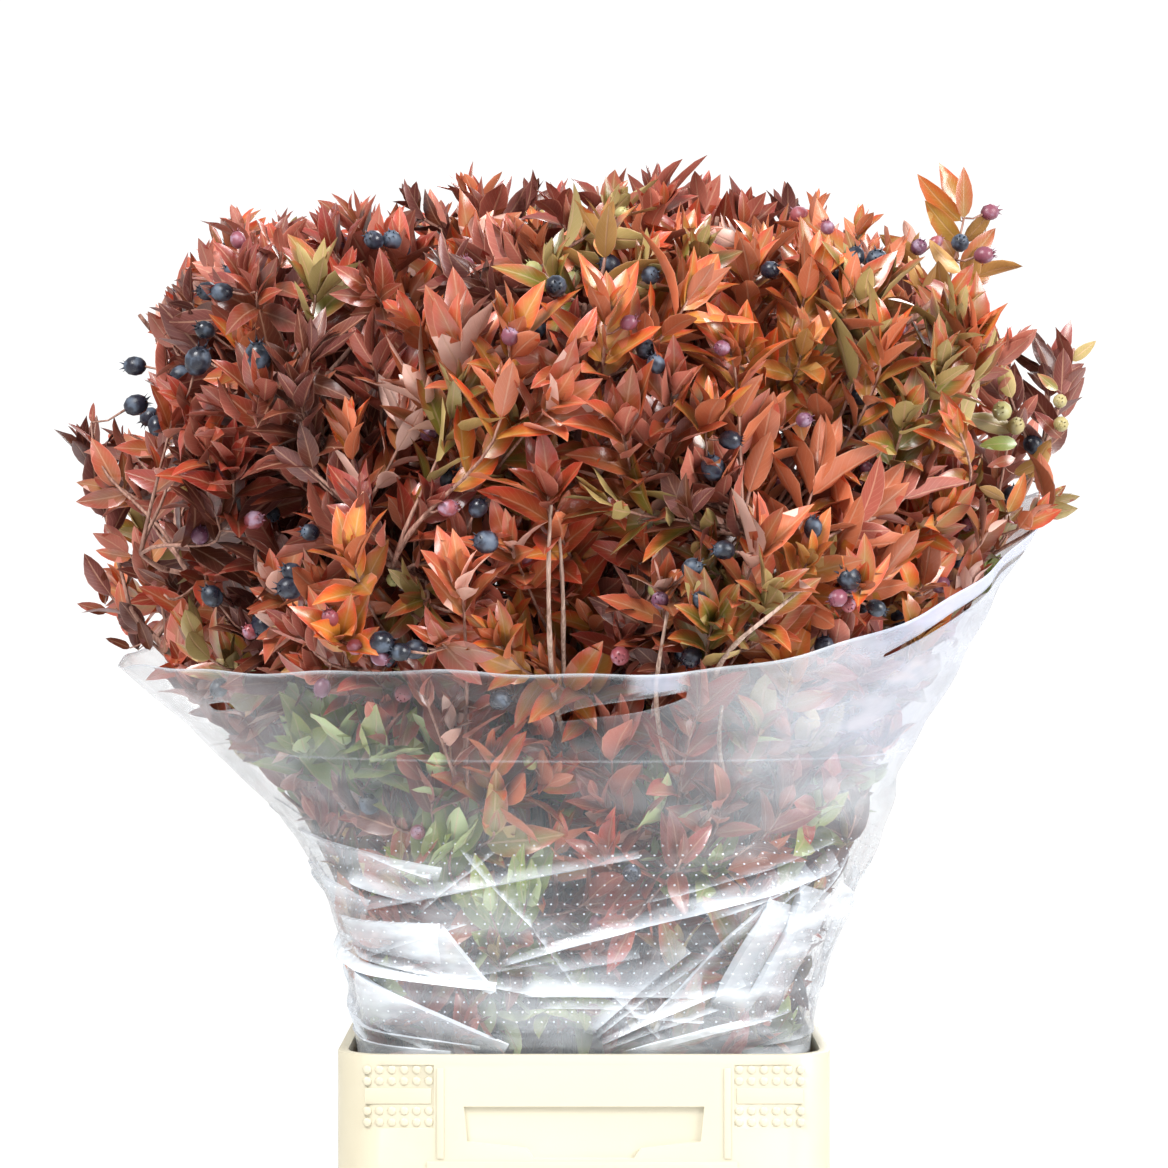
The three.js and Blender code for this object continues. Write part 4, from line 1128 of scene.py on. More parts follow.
leaf_materials = {}
for tint, (upper, second, under, change) in LEAF_LOOKS.items():
    paler = tuple(min(1, 1.15 * channel) for channel in under)
    gloss = DARK_LEAF_GLOSS if tint == "maroon" else LEAF_GLOSS
    leaf_materials[tint] = (
        leaf_material(f"{tint}_leaf", upper, second, LEAF_VEINS, change, gloss),
        leaf_material(f"{tint}_leaf_underside", under, paler, UNDERSIDE_VEINS, 0.0, UNDERSIDE_GLOSS),
    )


def copies(shapes, faces, frames, places):
    """Copies of a small shape, each turned by its frame and moved to its place: points and faces."""
    points = np.einsum("lpk,lkd->lpd", shapes, frames) + places[:, None]
    count, each = points.shape[:2]
    return points.reshape(-1, 3), (faces[None] + np.arange(count)[:, None, None] * each).reshape(-1, 3)


def leaf_piece(name, tint, blades, grown, stands_for=()):
    """Leaves of one tint as one piece, with the upper sides and the undersides in own colours."""
    base, heading, facing, size, shade, variant = (np.array(part) for part in zip(*grown))
    frames = np.stack([heading, np.cross(facing, heading), facing], axis=1)
    shapes = blades["shapes"][variant] * size[:, None, None]
    points, faces = copies(shapes, blades["faces"], frames, base)
    count, each = shapes.shape[:2]
    mesh = triangle_mesh(name, points, faces, np.tile(blades["flat"], (count, 1)), np.repeat(shade, each))
    side = np.tile((np.arange(len(blades["faces"])) >= blades["upper"]).astype(np.int32), count)
    mesh.polygons.foreach_set("material_index", side)
    ends = np.zeros(len(mesh.edges) * 2, np.int32)
    mesh.edges.foreach_get("vertices", ends)
    ends = ends.reshape(-1, 2) % each
    sharp = mesh.attributes.new("sharp_edge", "BOOLEAN", "EDGE")
    sharp.data.foreach_set("value", blades["margin"][ends[:, 0], ends[:, 1]])
    add_piece(name, mesh, TINT_SLOTS[tint], *leaf_materials[tint], stands_for=stands_for)


for tint in TINTS:
    stood_for = [mass["name"] for mass in masses if mass["slot"] == tint]
    leaf_piece(f"leaves_{tint}", tint, BLADES["near"], leaves[tint, "near"], stood_for)
    leaf_piece(f"leaves_{tint}_inside", tint, BLADES["deep"], leaves[tint, "deep"])

# The wood: the cut stems stand on the container's floor and lean out to their boughs. Their bark is
# grey-brown and ridged lengthwise, and the youngest twigs are thin and pinkish.
STEM_SIDES = 9
STEM_RINGS = 42
FINE_STEM_RADII = (0.0030, 0.0016)
SHOOT_RADII = (0.0014, 0.0007)
LEAF_STALK_RADIUS = 0.0005
# Each bark: its furrows, its ridges, and how fine it is
BARKS = dict(
    stem_bark=((0.085, 0.052, 0.036), (0.30, 0.21, 0.15), 420.0),
    twig_bark=((0.20, 0.085, 0.060), (0.44, 0.25, 0.19), 500.0),
    pale_bark=((0.20, 0.115, 0.085), (0.50, 0.36, 0.29), 520.0),
)


def tubes(paths, radii, sides, ridge=0.0):
    """Tubes with closed ends round paths of equal length: points, triangles and a flat map."""
    paths = np.asarray(paths, float)
    count, rings = paths.shape[:2]
    radii = np.broadcast_to(radii, (count, rings))
    along = unit(np.gradient(paths, axis=1))
    mean = np.abs(along.mean(axis=1))
    reference = np.eye(3)[mean.argmin(axis=1)][:, None, :]
    side = unit(np.cross(np.broadcast_to(reference, along.shape), along))
    other = np.cross(along, side)
    turn = np.arange(sides) / sides * 2 * math.pi
    own = np.arange(count)[:, None, None]
    wobble = 1 + ridge * np.sin(turn * 3 + 1.0) + ridge * 0.7 * np.sin(turn * 5 + own)
    around = side[:, :, None] * np.cos(turn)[:, None] + other[:, :, None] * np.sin(turn)[:, None]
    walls = paths[:, :, None] + around * (radii[:, :, None] * wobble)[..., None]
    points = walls.reshape(count, -1, 3)
    ring, step = np.meshgrid(np.arange(rings - 1), np.arange(sides), indexing="ij")
    after = (step + 1) % sides
    a, b = ring * sides + step, ring * sides + after
    c, d = a + sides, b + sides
    wall = np.stack([np.stack([a, b, d], -1), np.stack([a, d, c], -1)], 2).reshape(-1, 3)
    fan = np.arange(1, sides - 1)
    last = (rings - 1) * sides
    foot = np.stack([np.zeros_like(fan), fan + 1, fan], -1)
    top = np.stack([np.full_like(fan, last), last + fan, last + fan + 1], -1)
    faces = np.concatenate([wall, foot, top])
    faces = (faces[None] + np.arange(count)[:, None, None] * rings * sides).reshape(-1, 3)
    run = np.cumsum(np.linalg.norm(np.diff(paths, axis=1, prepend=paths[:, :1]), axis=2), axis=1)
    flat = np.empty((count, rings, sides, 2))
    flat[..., 0] = np.arange(sides) / sides
    flat[..., 1] = run[:, :, None] * 10
    return points.reshape(-1, 3), faces, flat.reshape(-1, 2)


def wood_piece(name, material, *parts, stands_for=()):
    """A piece of wood, joined from its tubes."""
    starts = np.cumsum([0, *(len(part[0]) for part in parts[:-1])])
    points = np.concatenate([part[0] for part in parts])
    faces = np.concatenate([part[1] + start for part, start in zip(parts, starts)])
    flat_map = np.concatenate([part[2] for part in parts])
    add_piece(name, triangle_mesh(name, points, faces, flat_map), "bark", material, stands_for=stands_for)


# The effect all bark shares: long furrows between paler ridges, and weathered patches
bark, given, result = surface_effect("bark", Dark="Color", Pale="Color", Scale="Float")
where = object_coordinates(bark)
fissures = cloudy(bark, where, given["Scale"], 5.0, (1, 1, 0.12))
patches = cloudy(bark, where, arithmetic(bark, "DIVIDE", given["Scale"], 9.0), 2.0)
share = plus(bark, times(bark, fissures, 0.75), times(bark, patches, 0.35))
share = remap(bark, share, 0.38, 0.72)
feed(bark, result["Colour"], blend_colours(bark, share, given["Dark"], given["Pale"]))
feed(bark, result["Roughness"], remap(bark, patches, 0.3, 0.7, 0.62, 0.85))
feed(bark, result["Height"], fissures)
barks = {
    name: effect_material(name, bark, 0.0012, 0.8, Dark=dark, Pale=pale, Scale=scale)[0]
    for name, (dark, pale, scale) in BARKS.items()
}

shares = np.linspace(0, 1, STEM_RINGS)
swelling = 1 + 0.10 * np.maximum(0, np.cos(shares * 75)) ** 6
stem_radii = (STEM_FOOT_RADIUS + (STEM_TIP_RADIUS - STEM_FOOT_RADIUS) * shares) * swelling
stems = tubes([bezier(mass["stem"], shares) for mass in own_stems], stem_radii, STEM_SIDES, ridge=0.06)
stood_for = [f"stem_{mass['name']}" for mass in own_stems]
wood_piece("cut_stems", barks["stem_bark"], stems, stands_for=stood_for)
fine_radii = np.linspace(*FINE_STEM_RADII, FINE_STEM_POINTS)
wood_piece("fine_stems", barks["stem_bark"], tubes(fine_stems, fine_radii, 7, ridge=0.06))

bough_radii = [thick + (thin - thick) * line_shares for _, (thick, thin) in boughs]
shoot_radii = np.linspace(*SHOOT_RADII, LINE_POINTS)
wood_piece(
    "twigs",
    barks["twig_bark"],
    tubes([line for line, _ in boughs], bough_radii, 6, ridge=0.05),
    tubes([shoot["line"] for shoot in shoots], shoot_radii, 4),
    tubes(leaf_stalks, LEAF_STALK_RADIUS, 4),
)

# Bare twigs that stand in front of the leaves in the photograph. Their bark is pale and flaking. From
# the foot up, each point is a place in the photograph's pixels and how deep it lies under the outline.
SHOWN_TWIGS = (
    ((554, 716, 0.003), (549, 640, -0.01), (548, 560, -0.01), (551, 505, 0.002)),
    ((562, 690, 0.003), (564, 620, -0.004), (562, 570, 0.0), (559, 530, 0.012)),
    ((664, 762, 0.003), (655, 705, 0.002), (657, 670, -0.006), (668, 610, 0.0)),
    ((716, 668, 0.004), (735, 642, -0.008), (762, 622, -0.008), (800, 590, 0.002)),
    ((728, 800, 0.003), (722, 768, 0.002), (718, 740, 0.002), (722, 706, 0.003)),
)
BARE_TWIG_POINTS = 13
BARE_TWIG_RADII = (0.0017, 0.0009)
KNOT = 0.22
SMOOTHINGS = 3

bare_twigs = []
for places in SHOWN_TWIGS:
    knots = np.array([front_point(across, down, under=under) for across, down, under in places])
    knots = np.vstack([nearest_limb(knots[0], UP), knots])
    steps = np.linspace(0, len(knots) - 1, BARE_TWIG_POINTS)
    line = np.stack([np.interp(steps, np.arange(len(knots)), knots[:, axis]) for axis in range(3)], axis=1)
    for _ in range(SMOOTHINGS):
        line[1:-1] = (line[:-2] + 2 * line[1:-1] + line[2:]) / 4
    bare_twigs.append(line)
bare_radii = np.linspace(*BARE_TWIG_RADII, BARE_TWIG_POINTS)
bare_radii *= 1 + KNOT * (np.arange(BARE_TWIG_POINTS) % 3 == 0)
wood_piece("bare_twigs", barks["pale_bark"], tubes(bare_twigs, bare_radii, 7, ridge=0.08))

# The berries: oval, each on a thin stalk from a leaf's axil, with the dried calyx as a small crown at
# its end. Ripe ones are blue-black under a pale bloom, others still pink or olive.
BERRY_LENGTH = 1.18
BERRY_KINDS = ("ripe", "ripening", "unripe")
BERRY_RADIUS = dict(ripe=0.0056, ripening=0.0048, unripe=0.0042)
BERRY_SHARES = (0.62, 0.32, 0.06)
BERRIES_PER_SHOOT = dict(outer=0.40, inner=0.08, sprig=0.0, shown=0.1)
BERRY_STALK_RADII = (0.0007, 0.0006, 0.0009)
CALYX_LOBES = 5
# One lobe's corners: how far out, how far round and how high, as shares of the berry's radius
CALYX_LOBE = ((0.36, 0.34, 0.90), (0.36, -0.34, 0.90), (0.66, 0.0, 1.30), (0.44, 0.0, 0.86))
# Berries that stand out in the photograph: place in its pixels, kind, size, and for some the depth
SHOWN_BERRIES = (
    ((135, 366), "ripe", 1.15, -0.045), ((136, 405), "ripe", 1.25, -0.045),
    ((157, 426), "ripe", 1.1, -0.045), ((198, 361), "ripe", 1.45), ((258, 357), "ripe", 1.45),
    ((207, 291), "ripe", 1.05), ((222, 292), "ripe", 1.05), ((465, 224), "ripe", 1.05, -0.06),
    ((374, 240), "ripe", 1.05), ((392, 240), "ripe", 1.05), ((556, 286), "ripe", 1.15),
    ((877, 261), "ripe", 1.25), ((486, 542), "ripe", 1.25), ((713, 468), "ripe", 1.3),
    ((730, 440), "ripe", 1.05), ((1033, 445), "ripe", 1.15, -0.02), ((656, 364), "ripe", 0.95),
    ((478, 508), "ripe", 1.0), ((448, 508), "ripening", 1.1), ((724, 550), "ripe", 1.05),
    ((692, 568), "ripe", 1.05), ((849, 578), "ripe", 1.25), ((838, 598), "ripening", 1.1),
    ((876, 608), "ripe", 0.95), ((813, 528), "ripe", 1.0), ((290, 588), "ripe", 1.25),
    ((292, 572), "ripe", 1.0), ((254, 520), "ripening", 1.2), ((200, 535), "ripening", 1.2),
    ((212, 596), "ripe", 1.15), ((262, 626), "ripe", 1.25), ((330, 618), "ripening", 1.05),
    ((355, 647), "ripening", 1.0), ((382, 642), "ripe", 1.2), ((380, 657), "ripening", 1.1),
    ((400, 652), "ripe", 1.0), ((322, 688), "ripening", 1.1), ((250, 632), "ripening", 1.0),
    ((620, 656), "ripening", 1.2), ((660, 600), "ripening", 1.1), ((960, 243), "ripe", 1.05, -0.058),
    ((984, 255), "ripening", 1.2, -0.034), ((990, 212), "ripening", 1.15, -0.02),
    ((919, 247), "ripening", 1.1, -0.056), ((855, 257), "ripe", 1.05),
    ((936, 242), "ripening", 0.85, -0.04), ((958, 330), "ripening", 1.0, -0.04),
    ((948, 341), "unripe", 1.1, -0.044), ((1002, 411), "unripe", 1.55, -0.062),
    ((1016, 426), "unripe", 1.35, -0.052), ((1060, 401), "unripe", 1.1, -0.05),
    ((1061, 424), "unripe", 1.2, -0.046), ((510, 336), "ripening", 1.1), ((205, 330), "ripe", 1.0),
    ((238, 240), "ripening", 1.0), ((500, 700), "ripe", 1.1), ((418, 832), "ripening", 1.0),
    ((700, 600), "ripe", 0.9), ((804, 420), "ripening", 0.95), ((770, 270), "ripe", 1.0),
    ((722, 348), "ripening", 1.0),
)
# Each kind's skin: two tones, the bloom's, where the bloom begins and how rough the skin is
BERRY_LOOKS = dict(
    ripe=((0.007, 0.010, 0.017), (0.018, 0.018, 0.032), (0.095, 0.125, 0.175), 0.46, 0.24),
    ripening=((0.30, 0.070, 0.080), (0.110, 0.045, 0.090), (0.38, 0.28, 0.38), 0.50, 0.28),
    unripe=((0.36, 0.36, 0.13), (0.46, 0.34, 0.18), (0.50, 0.50, 0.34), 0.52, 0.34),
)


def berry_shape():
    """A berry of radius 1 with its crown at +Z, and its triangles."""
    around, rings = 10, 6
    points = [(0, 0, -BERRY_LENGTH)]
    for ring in range(1, rings):
        polar = math.pi * ring / rings
        for step in range(around):
            turn = 2 * math.pi * step / around
            across, beside = math.sin(polar) * math.cos(turn), math.sin(polar) * math.sin(turn)
            points.append((across, beside, -BERRY_LENGTH * math.cos(polar)))
    points.append((0, 0, BERRY_LENGTH * 0.90))
    faces = []
    for step in range(around):
        after = (step + 1) % around
        faces.append((0, 1 + after, 1 + step))
        for ring in range(rings - 2):
            low, high = 1 + ring * around, 1 + (ring + 1) * around
            faces += [(low + step, low + after, high + after), (low + step, high + after, high + step)]
        top = 1 + (rings - 2) * around
        faces.append((top + step, top + after, len(points) - 1))
    crown = len(points)
    for lobe in range(CALYX_LOBES):
        turn = 2 * math.pi * lobe / CALYX_LOBES
        for away, spread, lift in CALYX_LOBE:
            across, beside = away * math.cos(turn + spread), away * math.sin(turn + spread)
            points.append((across, beside, BERRY_LENGTH * lift))
        a = crown + lobe * 4
        faces += [(a, a + 2, a + 1), (a, a + 1, a + 3), (a + 1, a + 2, a + 3), (a + 2, a, a + 3)]
    return np.array(points), np.array(faces)


berries = {kind: [] for kind in BERRY_KINDS}
stalks = []


def hang_berry(kind, node, direction, length, size, dice):
    """One berry: its stalk leaves the twig and ends at the berry's foot."""
    foot = node + direction * length
    sag = np.array([0, 0, -0.12 * length])
    stalks.append(np.array([node, node + direction * length * 0.5 + sag, foot + direction * size * 0.3]))
    centre = foot + direction * size * BERRY_LENGTH * 0.96
    berries[kind].append((centre, direction, size, dice.uniform(0, 1)))


for shoot in shoots:
    dice, line = shoot["dice"], shoot["line"]
    wanted = dice.poisson(BERRIES_PER_SHOOT[shoot["place"]])
    for _ in range(min(wanted, 3)):
        node, along = point_on(line, dice.uniform(0.45, 0.93) * (len(line) - 1))
        away = unit(np.cross(along, dice.normal(0, 1, 3)))
        direction = unit(along * 0.5 + away * 0.8)
        kind = BERRY_KINDS[dice.choice(3, p=BERRY_SHARES)]
        size = BERRY_RADIUS[kind] * dice.uniform(0.86, 1.16)
        length = dice.uniform(0.009, 0.016)
        far_end = node + direction * (length + 2.4 * size)
        if room_left(far_end) > 0 and clear_of_sprigs(far_end[None])[0]:
            hang_berry(kind, node, direction, length, size, dice)

for order, (place, kind, scale, *depth) in enumerate(SHOWN_BERRIES):
    dice = np.random.default_rng(SEED * 3000 + order)
    centre = front_point(*place, *depth, under=0.002)
    gap = centre - shoot_points
    far = np.linalg.norm(gap, axis=1)
    node = shoot_points[(far + np.where(far < 0.012, 0.05, 0) + np.maximum(0, -gap[:, 2])).argmin()]
    size = BERRY_RADIUS[kind] * scale
    length = max(np.linalg.norm(centre - node) - size * BERRY_LENGTH * 0.96, 0.004)
    hang_berry(kind, node, unit(centre - node), length, size, dice)

# The effect all berries share: a skin of two tones by berry, under patches of pale bloom
berry_skin, given, result = surface_effect(
    "berry_skin", Deep="Color", Other="Color", Bloom="Color", Bloom_From="Float", Smoothest="Float"
)
where = object_coordinates(berry_skin)
patches = cloudy(berry_skin, where, 120.0, 4.0)
skin = blend_colours(berry_skin, attribute(berry_skin, "shade"), given["Deep"], given["Other"])
bloom_to = plus(berry_skin, given["Bloom From"], 0.22)
dusty = remap(berry_skin, patches, given["Bloom From"], bloom_to, 0.0, 0.85)
feed(berry_skin, result["Colour"], blend_colours(berry_skin, dusty, skin, given["Bloom"]))
roughest = plus(berry_skin, given["Smoothest"], 0.3)
feed(berry_skin, result["Roughness"], remap(berry_skin, patches, 0.35, 0.65, given["Smoothest"], roughest))
feed(berry_skin, result["Height"], cloudy(berry_skin, where, 900.0, 2.0))

berry_points, berry_faces = berry_shape()
for kind, (deep, other, bloom, bloom_from, smoothest) in BERRY_LOOKS.items():
    skin, _ = effect_material(
        f"{kind}_berry", berry_skin, 0.0002, 0.4, Deep=deep, Other=other, Bloom=bloom,
        Bloom_From=bloom_from, Smoothest=smoothest,
    )
    centre, direction, size, shade = (np.array(part) for part in zip(*berries[kind]))
    upright = np.abs(direction[:, 2:]) > 0.9
    side = unit(np.cross(direction, np.where(upright, [[1.0, 0, 0]], [[0, 0, 1.0]])))
    frames = np.stack([side, np.cross(direction, side), direction], axis=1)
    points, faces = copies(berry_points[None] * size[:, None, None], berry_faces, frames, centre)
    shades = np.repeat(shade, len(berry_points))
    mesh = triangle_mesh(f"berries_{kind}", points, faces, shades=shades)
    add_piece(f"berries_{kind}", mesh, "maroon", skin)
wood_piece("berry_stalks", barks["twig_bark"], tubes(stalks, BERRY_STALK_RADII, 4))

# The sleeve: clear film, welded into a tapering bag, perforated near its foot and with carrying slots
# near its rim. It is tucked into the container's mouth, where it bunches into slanting folds.
FILM_AROUND = 296
FILM_UP = 100
FILM_THICKNESS = 0.0003
TUCK_HEIGHT = 0.306
TUCK_SHARE = 0.06
DEGREE = 0.0031
WELD_HEIGHT = 0.498
HOLES_AROUND = 168
HOLE_SPACING_UP = 0.006
HOLE_BAND = (0.330, 0.452)
HOLE_RADIUS = 0.00055
# Carrying slots: from and to in degrees, how far below the rim at each end, and their gape
CARRY_SLOTS = (
    (214.5, 222.5, 0.024, 0.022, 0.005),
    (265.8, 283.0, 0.027, 0.013, 0.008),
    (308.0, 347.0, 0.019, 0.017, 0.007),
    (34.0, 62.0, 0.020, 0.020, 0.005),
    (128.0, 146.0, 0.020, 0.020, 0.005),
)
# The folds pressed into the film over the front: the crisp edge from and to in the photograph's
# pixels, the width at each end (below 0 where the fold lies under its edge), how proud it stands, how
# milky its layers and painted reflection make it, and how bright the painted highlight on its edge is
FRONT_FOLDS = (
    ((366, 911), (640, 858), 17, 9, 0.003, 0.24, 0.4), ((500, 968), (812, 880), 7, 24, 0.005, 0.46, 0.55),
    ((560, 950), (838, 868), 5, 12, 0.004, 0.38, 0.5), ((333, 937), (497, 991), 14, 9, 0.0065, 0.66, 0.6),
    ((340, 914), (440, 924), -24, -40, 0.004, 0.6, 0.34),
    ((440, 922), (497, 991), -56, -6, 0.0045, 0.58, 0.4),
    ((352, 950), (470, 984), 7, 3, 0.003, 0.45, 0.5), ((376, 961), (545, 998), 8, 5, 0.0035, 0.24, 0.55),
    ((520, 997), (700, 998), 50, 34, 0.002, 0.38, 0.55),
    ((548, 975), (640, 958), 14, 9, 0.0025, 0.26, 0.3),
    ((356, 962), (509, 1044), -52, -14, 0.006, 0.47, 0.7),
    ((348, 985), (480, 1046), -12, -5, 0.003, 0.26, 0.4),
    ((338, 1004), (450, 1051), -40, -8, 0.003, 0.46, 0.3),
    ((589, 1038), (690, 952), 10, 22, 0.004, 0.28, 0.5),
    ((592, 1042), (720, 950), 3, 8, 0.003, 0.3, 0.45),
    ((597, 1048), (742, 985), 6, 14, 0.0045, 0.34, 0.65),
    ((604, 1051), (715, 1012), 4, 8, 0.003, 0.26, 0.45),
    ((640, 1030), (766, 896), -14, -8, 0.003, 0.18, 0.5),
    ((708, 1006), (765, 898), -32, -36, 0.0075, 0.57, 0.5),
    ((742, 1000), (800, 884), -34, -38, 0.006, 0.55, 0.4),
    ((664, 1047), (790, 1012), 8, 6, 0.004, 0.36, 0.6),
    ((735, 1055), (824, 1034), 8, 12, 0.0035, 0.5, 0.4),
    ((760, 1046), (826, 1000), 4, 8, 0.003, 0.36, 0.45),
    ((700, 925), (838, 862), 8, 15, 0.004, 0.34, 0.5), ((640, 905), (836, 842), 5, 7, 0.003, 0.2, 0.42),
    ((600, 985), (660, 1040), 8, 3, 0.003, 0.2, 0.34), ((425, 985), (560, 960), 7, 4, 0.0025, 0.18, 0.32),
    ((345, 880), (420, 905), 22, 9, 0.0035, 0.38, 0.38),
    ((333, 950), (366, 1042), 20, 8, 0.0045, 0.5, 0.3),
    ((372, 1020), (430, 1052), 6, 3, 0.0025, 0.3, 0.4),
    ((300, 826), (440, 868), -26, -14, 0.003, 0.3, 0.3),
    ((312, 856), (372, 900), -18, -20, 0.003, 0.34, 0.28),
    ((826, 1010), (838, 880), 30, 34, 0.003, 0.5, 0.36),
    ((620, 1052), (740, 1020), -14, -10, 0.003, 0.36, 0.4),
)
# The same for the other sides, from and to as (degrees, height), with the widths in metres
SIDE_FOLDS = (
    ((20, 0.43), (58, 0.335), 0.014, 0.008, 0.006, 0.62, 0.7),
    ((104, 0.418), (72, 0.34), 0.015, 0.01, 0.0055, 0.55, 0.7),
    ((118, 0.422), (150, 0.34), 0.017, 0.008, 0.006, 0.6, 0.75),
    ((196, 0.424), (160, 0.345), 0.01, 0.018, 0.005, 0.5, 0.65),
    ((-4, 0.424), (-24, 0.34), 0.016, 0.006, 0.005, 0.55, 0.65),
    ((90, 0.44), (48, 0.4), 0.006, 0.009, 0.0035, 0.36, 0.6),
    ((2, 0.372), (40, 0.39), 0.01, 0.005, 0.004, 0.45, 0.65),
    ((108, 0.352), (142, 0.4), 0.009, 0.006, 0.004, 0.4, 0.6),
    ((176, 0.4), (146, 0.412), 0.006, 0.008, 0.0035, 0.34, 0.55),
    ((8, 0.352), (24, 0.345), 0.008, 0.012, 0.004, 0.55, 0.4),
    ((60, 0.372), (86, 0.38), 0.007, 0.004, 0.0035, 0.38, 0.6),
)
FOLD_EDGE = 0.0007
WRINKLES = 44
WRINKLE_HEIGHTS = (0.335, 0.452)
WIDEST_WRINKLE = 0.0051
FOLDS_END = 0.480
SEAM_MARGIN = 0.02
SLOT_EASE = 14
# The film's front in degrees with the number of tries over it, and about how deep it lies
FRONT_TURNS = (182, 358, 1057)
FILM_FRONT = -0.15
# How far the film's own unevenness pushes it: gathers low down, slack and ripples above
GATHER, SLACK, RIPPLE = 0.0012, 0.0035, 0.0010
HOLE_SPACING_AROUND = 0.0072
HOLE_FADE = 0.008
CLEAREST = 0.012
# The film's colours are painted reflection of the white studio: dim and bright in streaks, and bluish where
# the film is veiled
FILM_DIM = (0.56, 0.61, 0.68, 1)
FILM_BRIGHT = (0.84, 0.88, 0.91, 1)
FILM_HAZE_AND_SHEEN = (0.60, 0.64, 0.80, 1)


def on_film(across, down):
    """Where on the flat film, as metres around and height, a place of the photograph's front lies."""
    turns = np.radians(np.linspace(*FRONT_TURNS))
    depth = FILM_FRONT
    for _ in range(6):
        point = seen_at(across, down, depth)
        radius = film_radius(turns, (point[2] - MOUTH_HEIGHT) / (rim_height(turns) - MOUTH_HEIGHT))
        nearest = np.abs(radius * np.cos(turns) - point[0]).argmin()
        depth = radius[nearest] * math.sin(turns[nearest])
    return np.array([math.degrees(turns[nearest]) * DEGREE, point[2]])


AROUND = 360 * DEGREE
PIXEL_AT_FILM = pixel_at(FILM_FRONT - 0.01)
folds = [
    (on_film(*begin), on_film(*end), first * PIXEL_AT_FILM, last * PIXEL_AT_FILM, *rest)
    for begin, end, first, last, *rest in FRONT_FOLDS
]
for begin, end, *rest in SIDE_FOLDS:
    folds.append((np.array(begin) * [DEGREE, 1], np.array(end) * [DEGREE, 1], *rest))
wrinkle_dice = np.random.default_rng(SEED)
for _ in range(WRINKLES):
    turn, up = wrinkle_dice.uniform(0, 340), wrinkle_dice.uniform(*WRINKLE_HEIGHTS)
    sweep, climb = wrinkle_dice.uniform(7, 20), wrinkle_dice.normal(0, 0.022)
    half = wrinkle_dice.uniform(0.002, WIDEST_WRINKLE - 0.0001)
    ends = np.array([[turn, up], [turn + sweep, float(np.clip(up + climb, 0.326, 0.462))]]) * [DEGREE, 1]
    # Each wrinkle's milkiness, painted reflection included, and the painted highlight on its edge
    milk_and_reflection, edge_highlight = wrinkle_dice.uniform(0.12, 0.34), wrinkle_dice.uniform(0.3, 0.6)
    folds.append((*ends, half, half * 0.5, 0.0016, milk_and_reflection, edge_highlight))


def fold_frame(fold):
    """Where a fold starts, also as seen across the film's seam, its direction and how far it runs."""
    begin, end = fold[0], fold[1]
    low, high = sorted((begin[0], end[0]))
    starts = [
        begin + np.array([shift, 0.0])
        for shift in (-AROUND, 0.0, AROUND)
        if high + shift > -SEAM_MARGIN and low + shift < AROUND + SEAM_MARGIN
    ]
    reach = np.linalg.norm(end - begin)
    return starts, (end - begin) / reach, reach


def fold_marks(flat):
    """How far folds push the film out at points of the flat film, and its milkiness with painted reflection
    there.
    """
    out = np.zeros(len(flat))
    clear = np.ones(len(flat))
    for fold in folds:
        starts, way, reach = fold_frame(fold)
        first, last, proud, milk_and_reflection, edge_highlight = fold[2:]
        for start in starts:
            along = (flat - start) @ way
            aside = (flat - start) @ np.array([-way[1], way[0]]) * np.sign(first)
            widest = max(abs(first), abs(last))
            near = np.flatnonzero((along > 0) & (along < reach) & (aside > 0) & (aside < widest))
            along, aside = along[near], aside[near]
            wide = abs(first) + (abs(last) - abs(first)) * along / reach
            past_edge = aside - FOLD_EDGE
            ramp = np.where(past_edge > 0, 1 - past_edge / (wide - FOLD_EDGE), aside / FOLD_EDGE)
            on_fold = smooth_share(along, 0, 0.010)
            lift = proud * np.clip(ramp, 0, 1) * on_fold * (1 - smooth_share(along, reach - 0.012, reach))
            out[near] = np.maximum(out[near], lift)
            # A fold's face is whitest at its crisp edge and fades away from it, and the edge is a bright
            # line: painted reflection and painted highlight, on top of the milkiness of the layers
            solid = np.clip((milk_and_reflection - 0.44) * 2.4, 0.05, 0.5)
            body = milk_and_reflection * (solid + (1 - solid) * ramp) * (aside < wide)
            edge = edge_highlight * (aside < FOLD_EDGE)
            clear[near] *= 1 - np.maximum(body, edge) * on_fold
    return out, 1 - clear


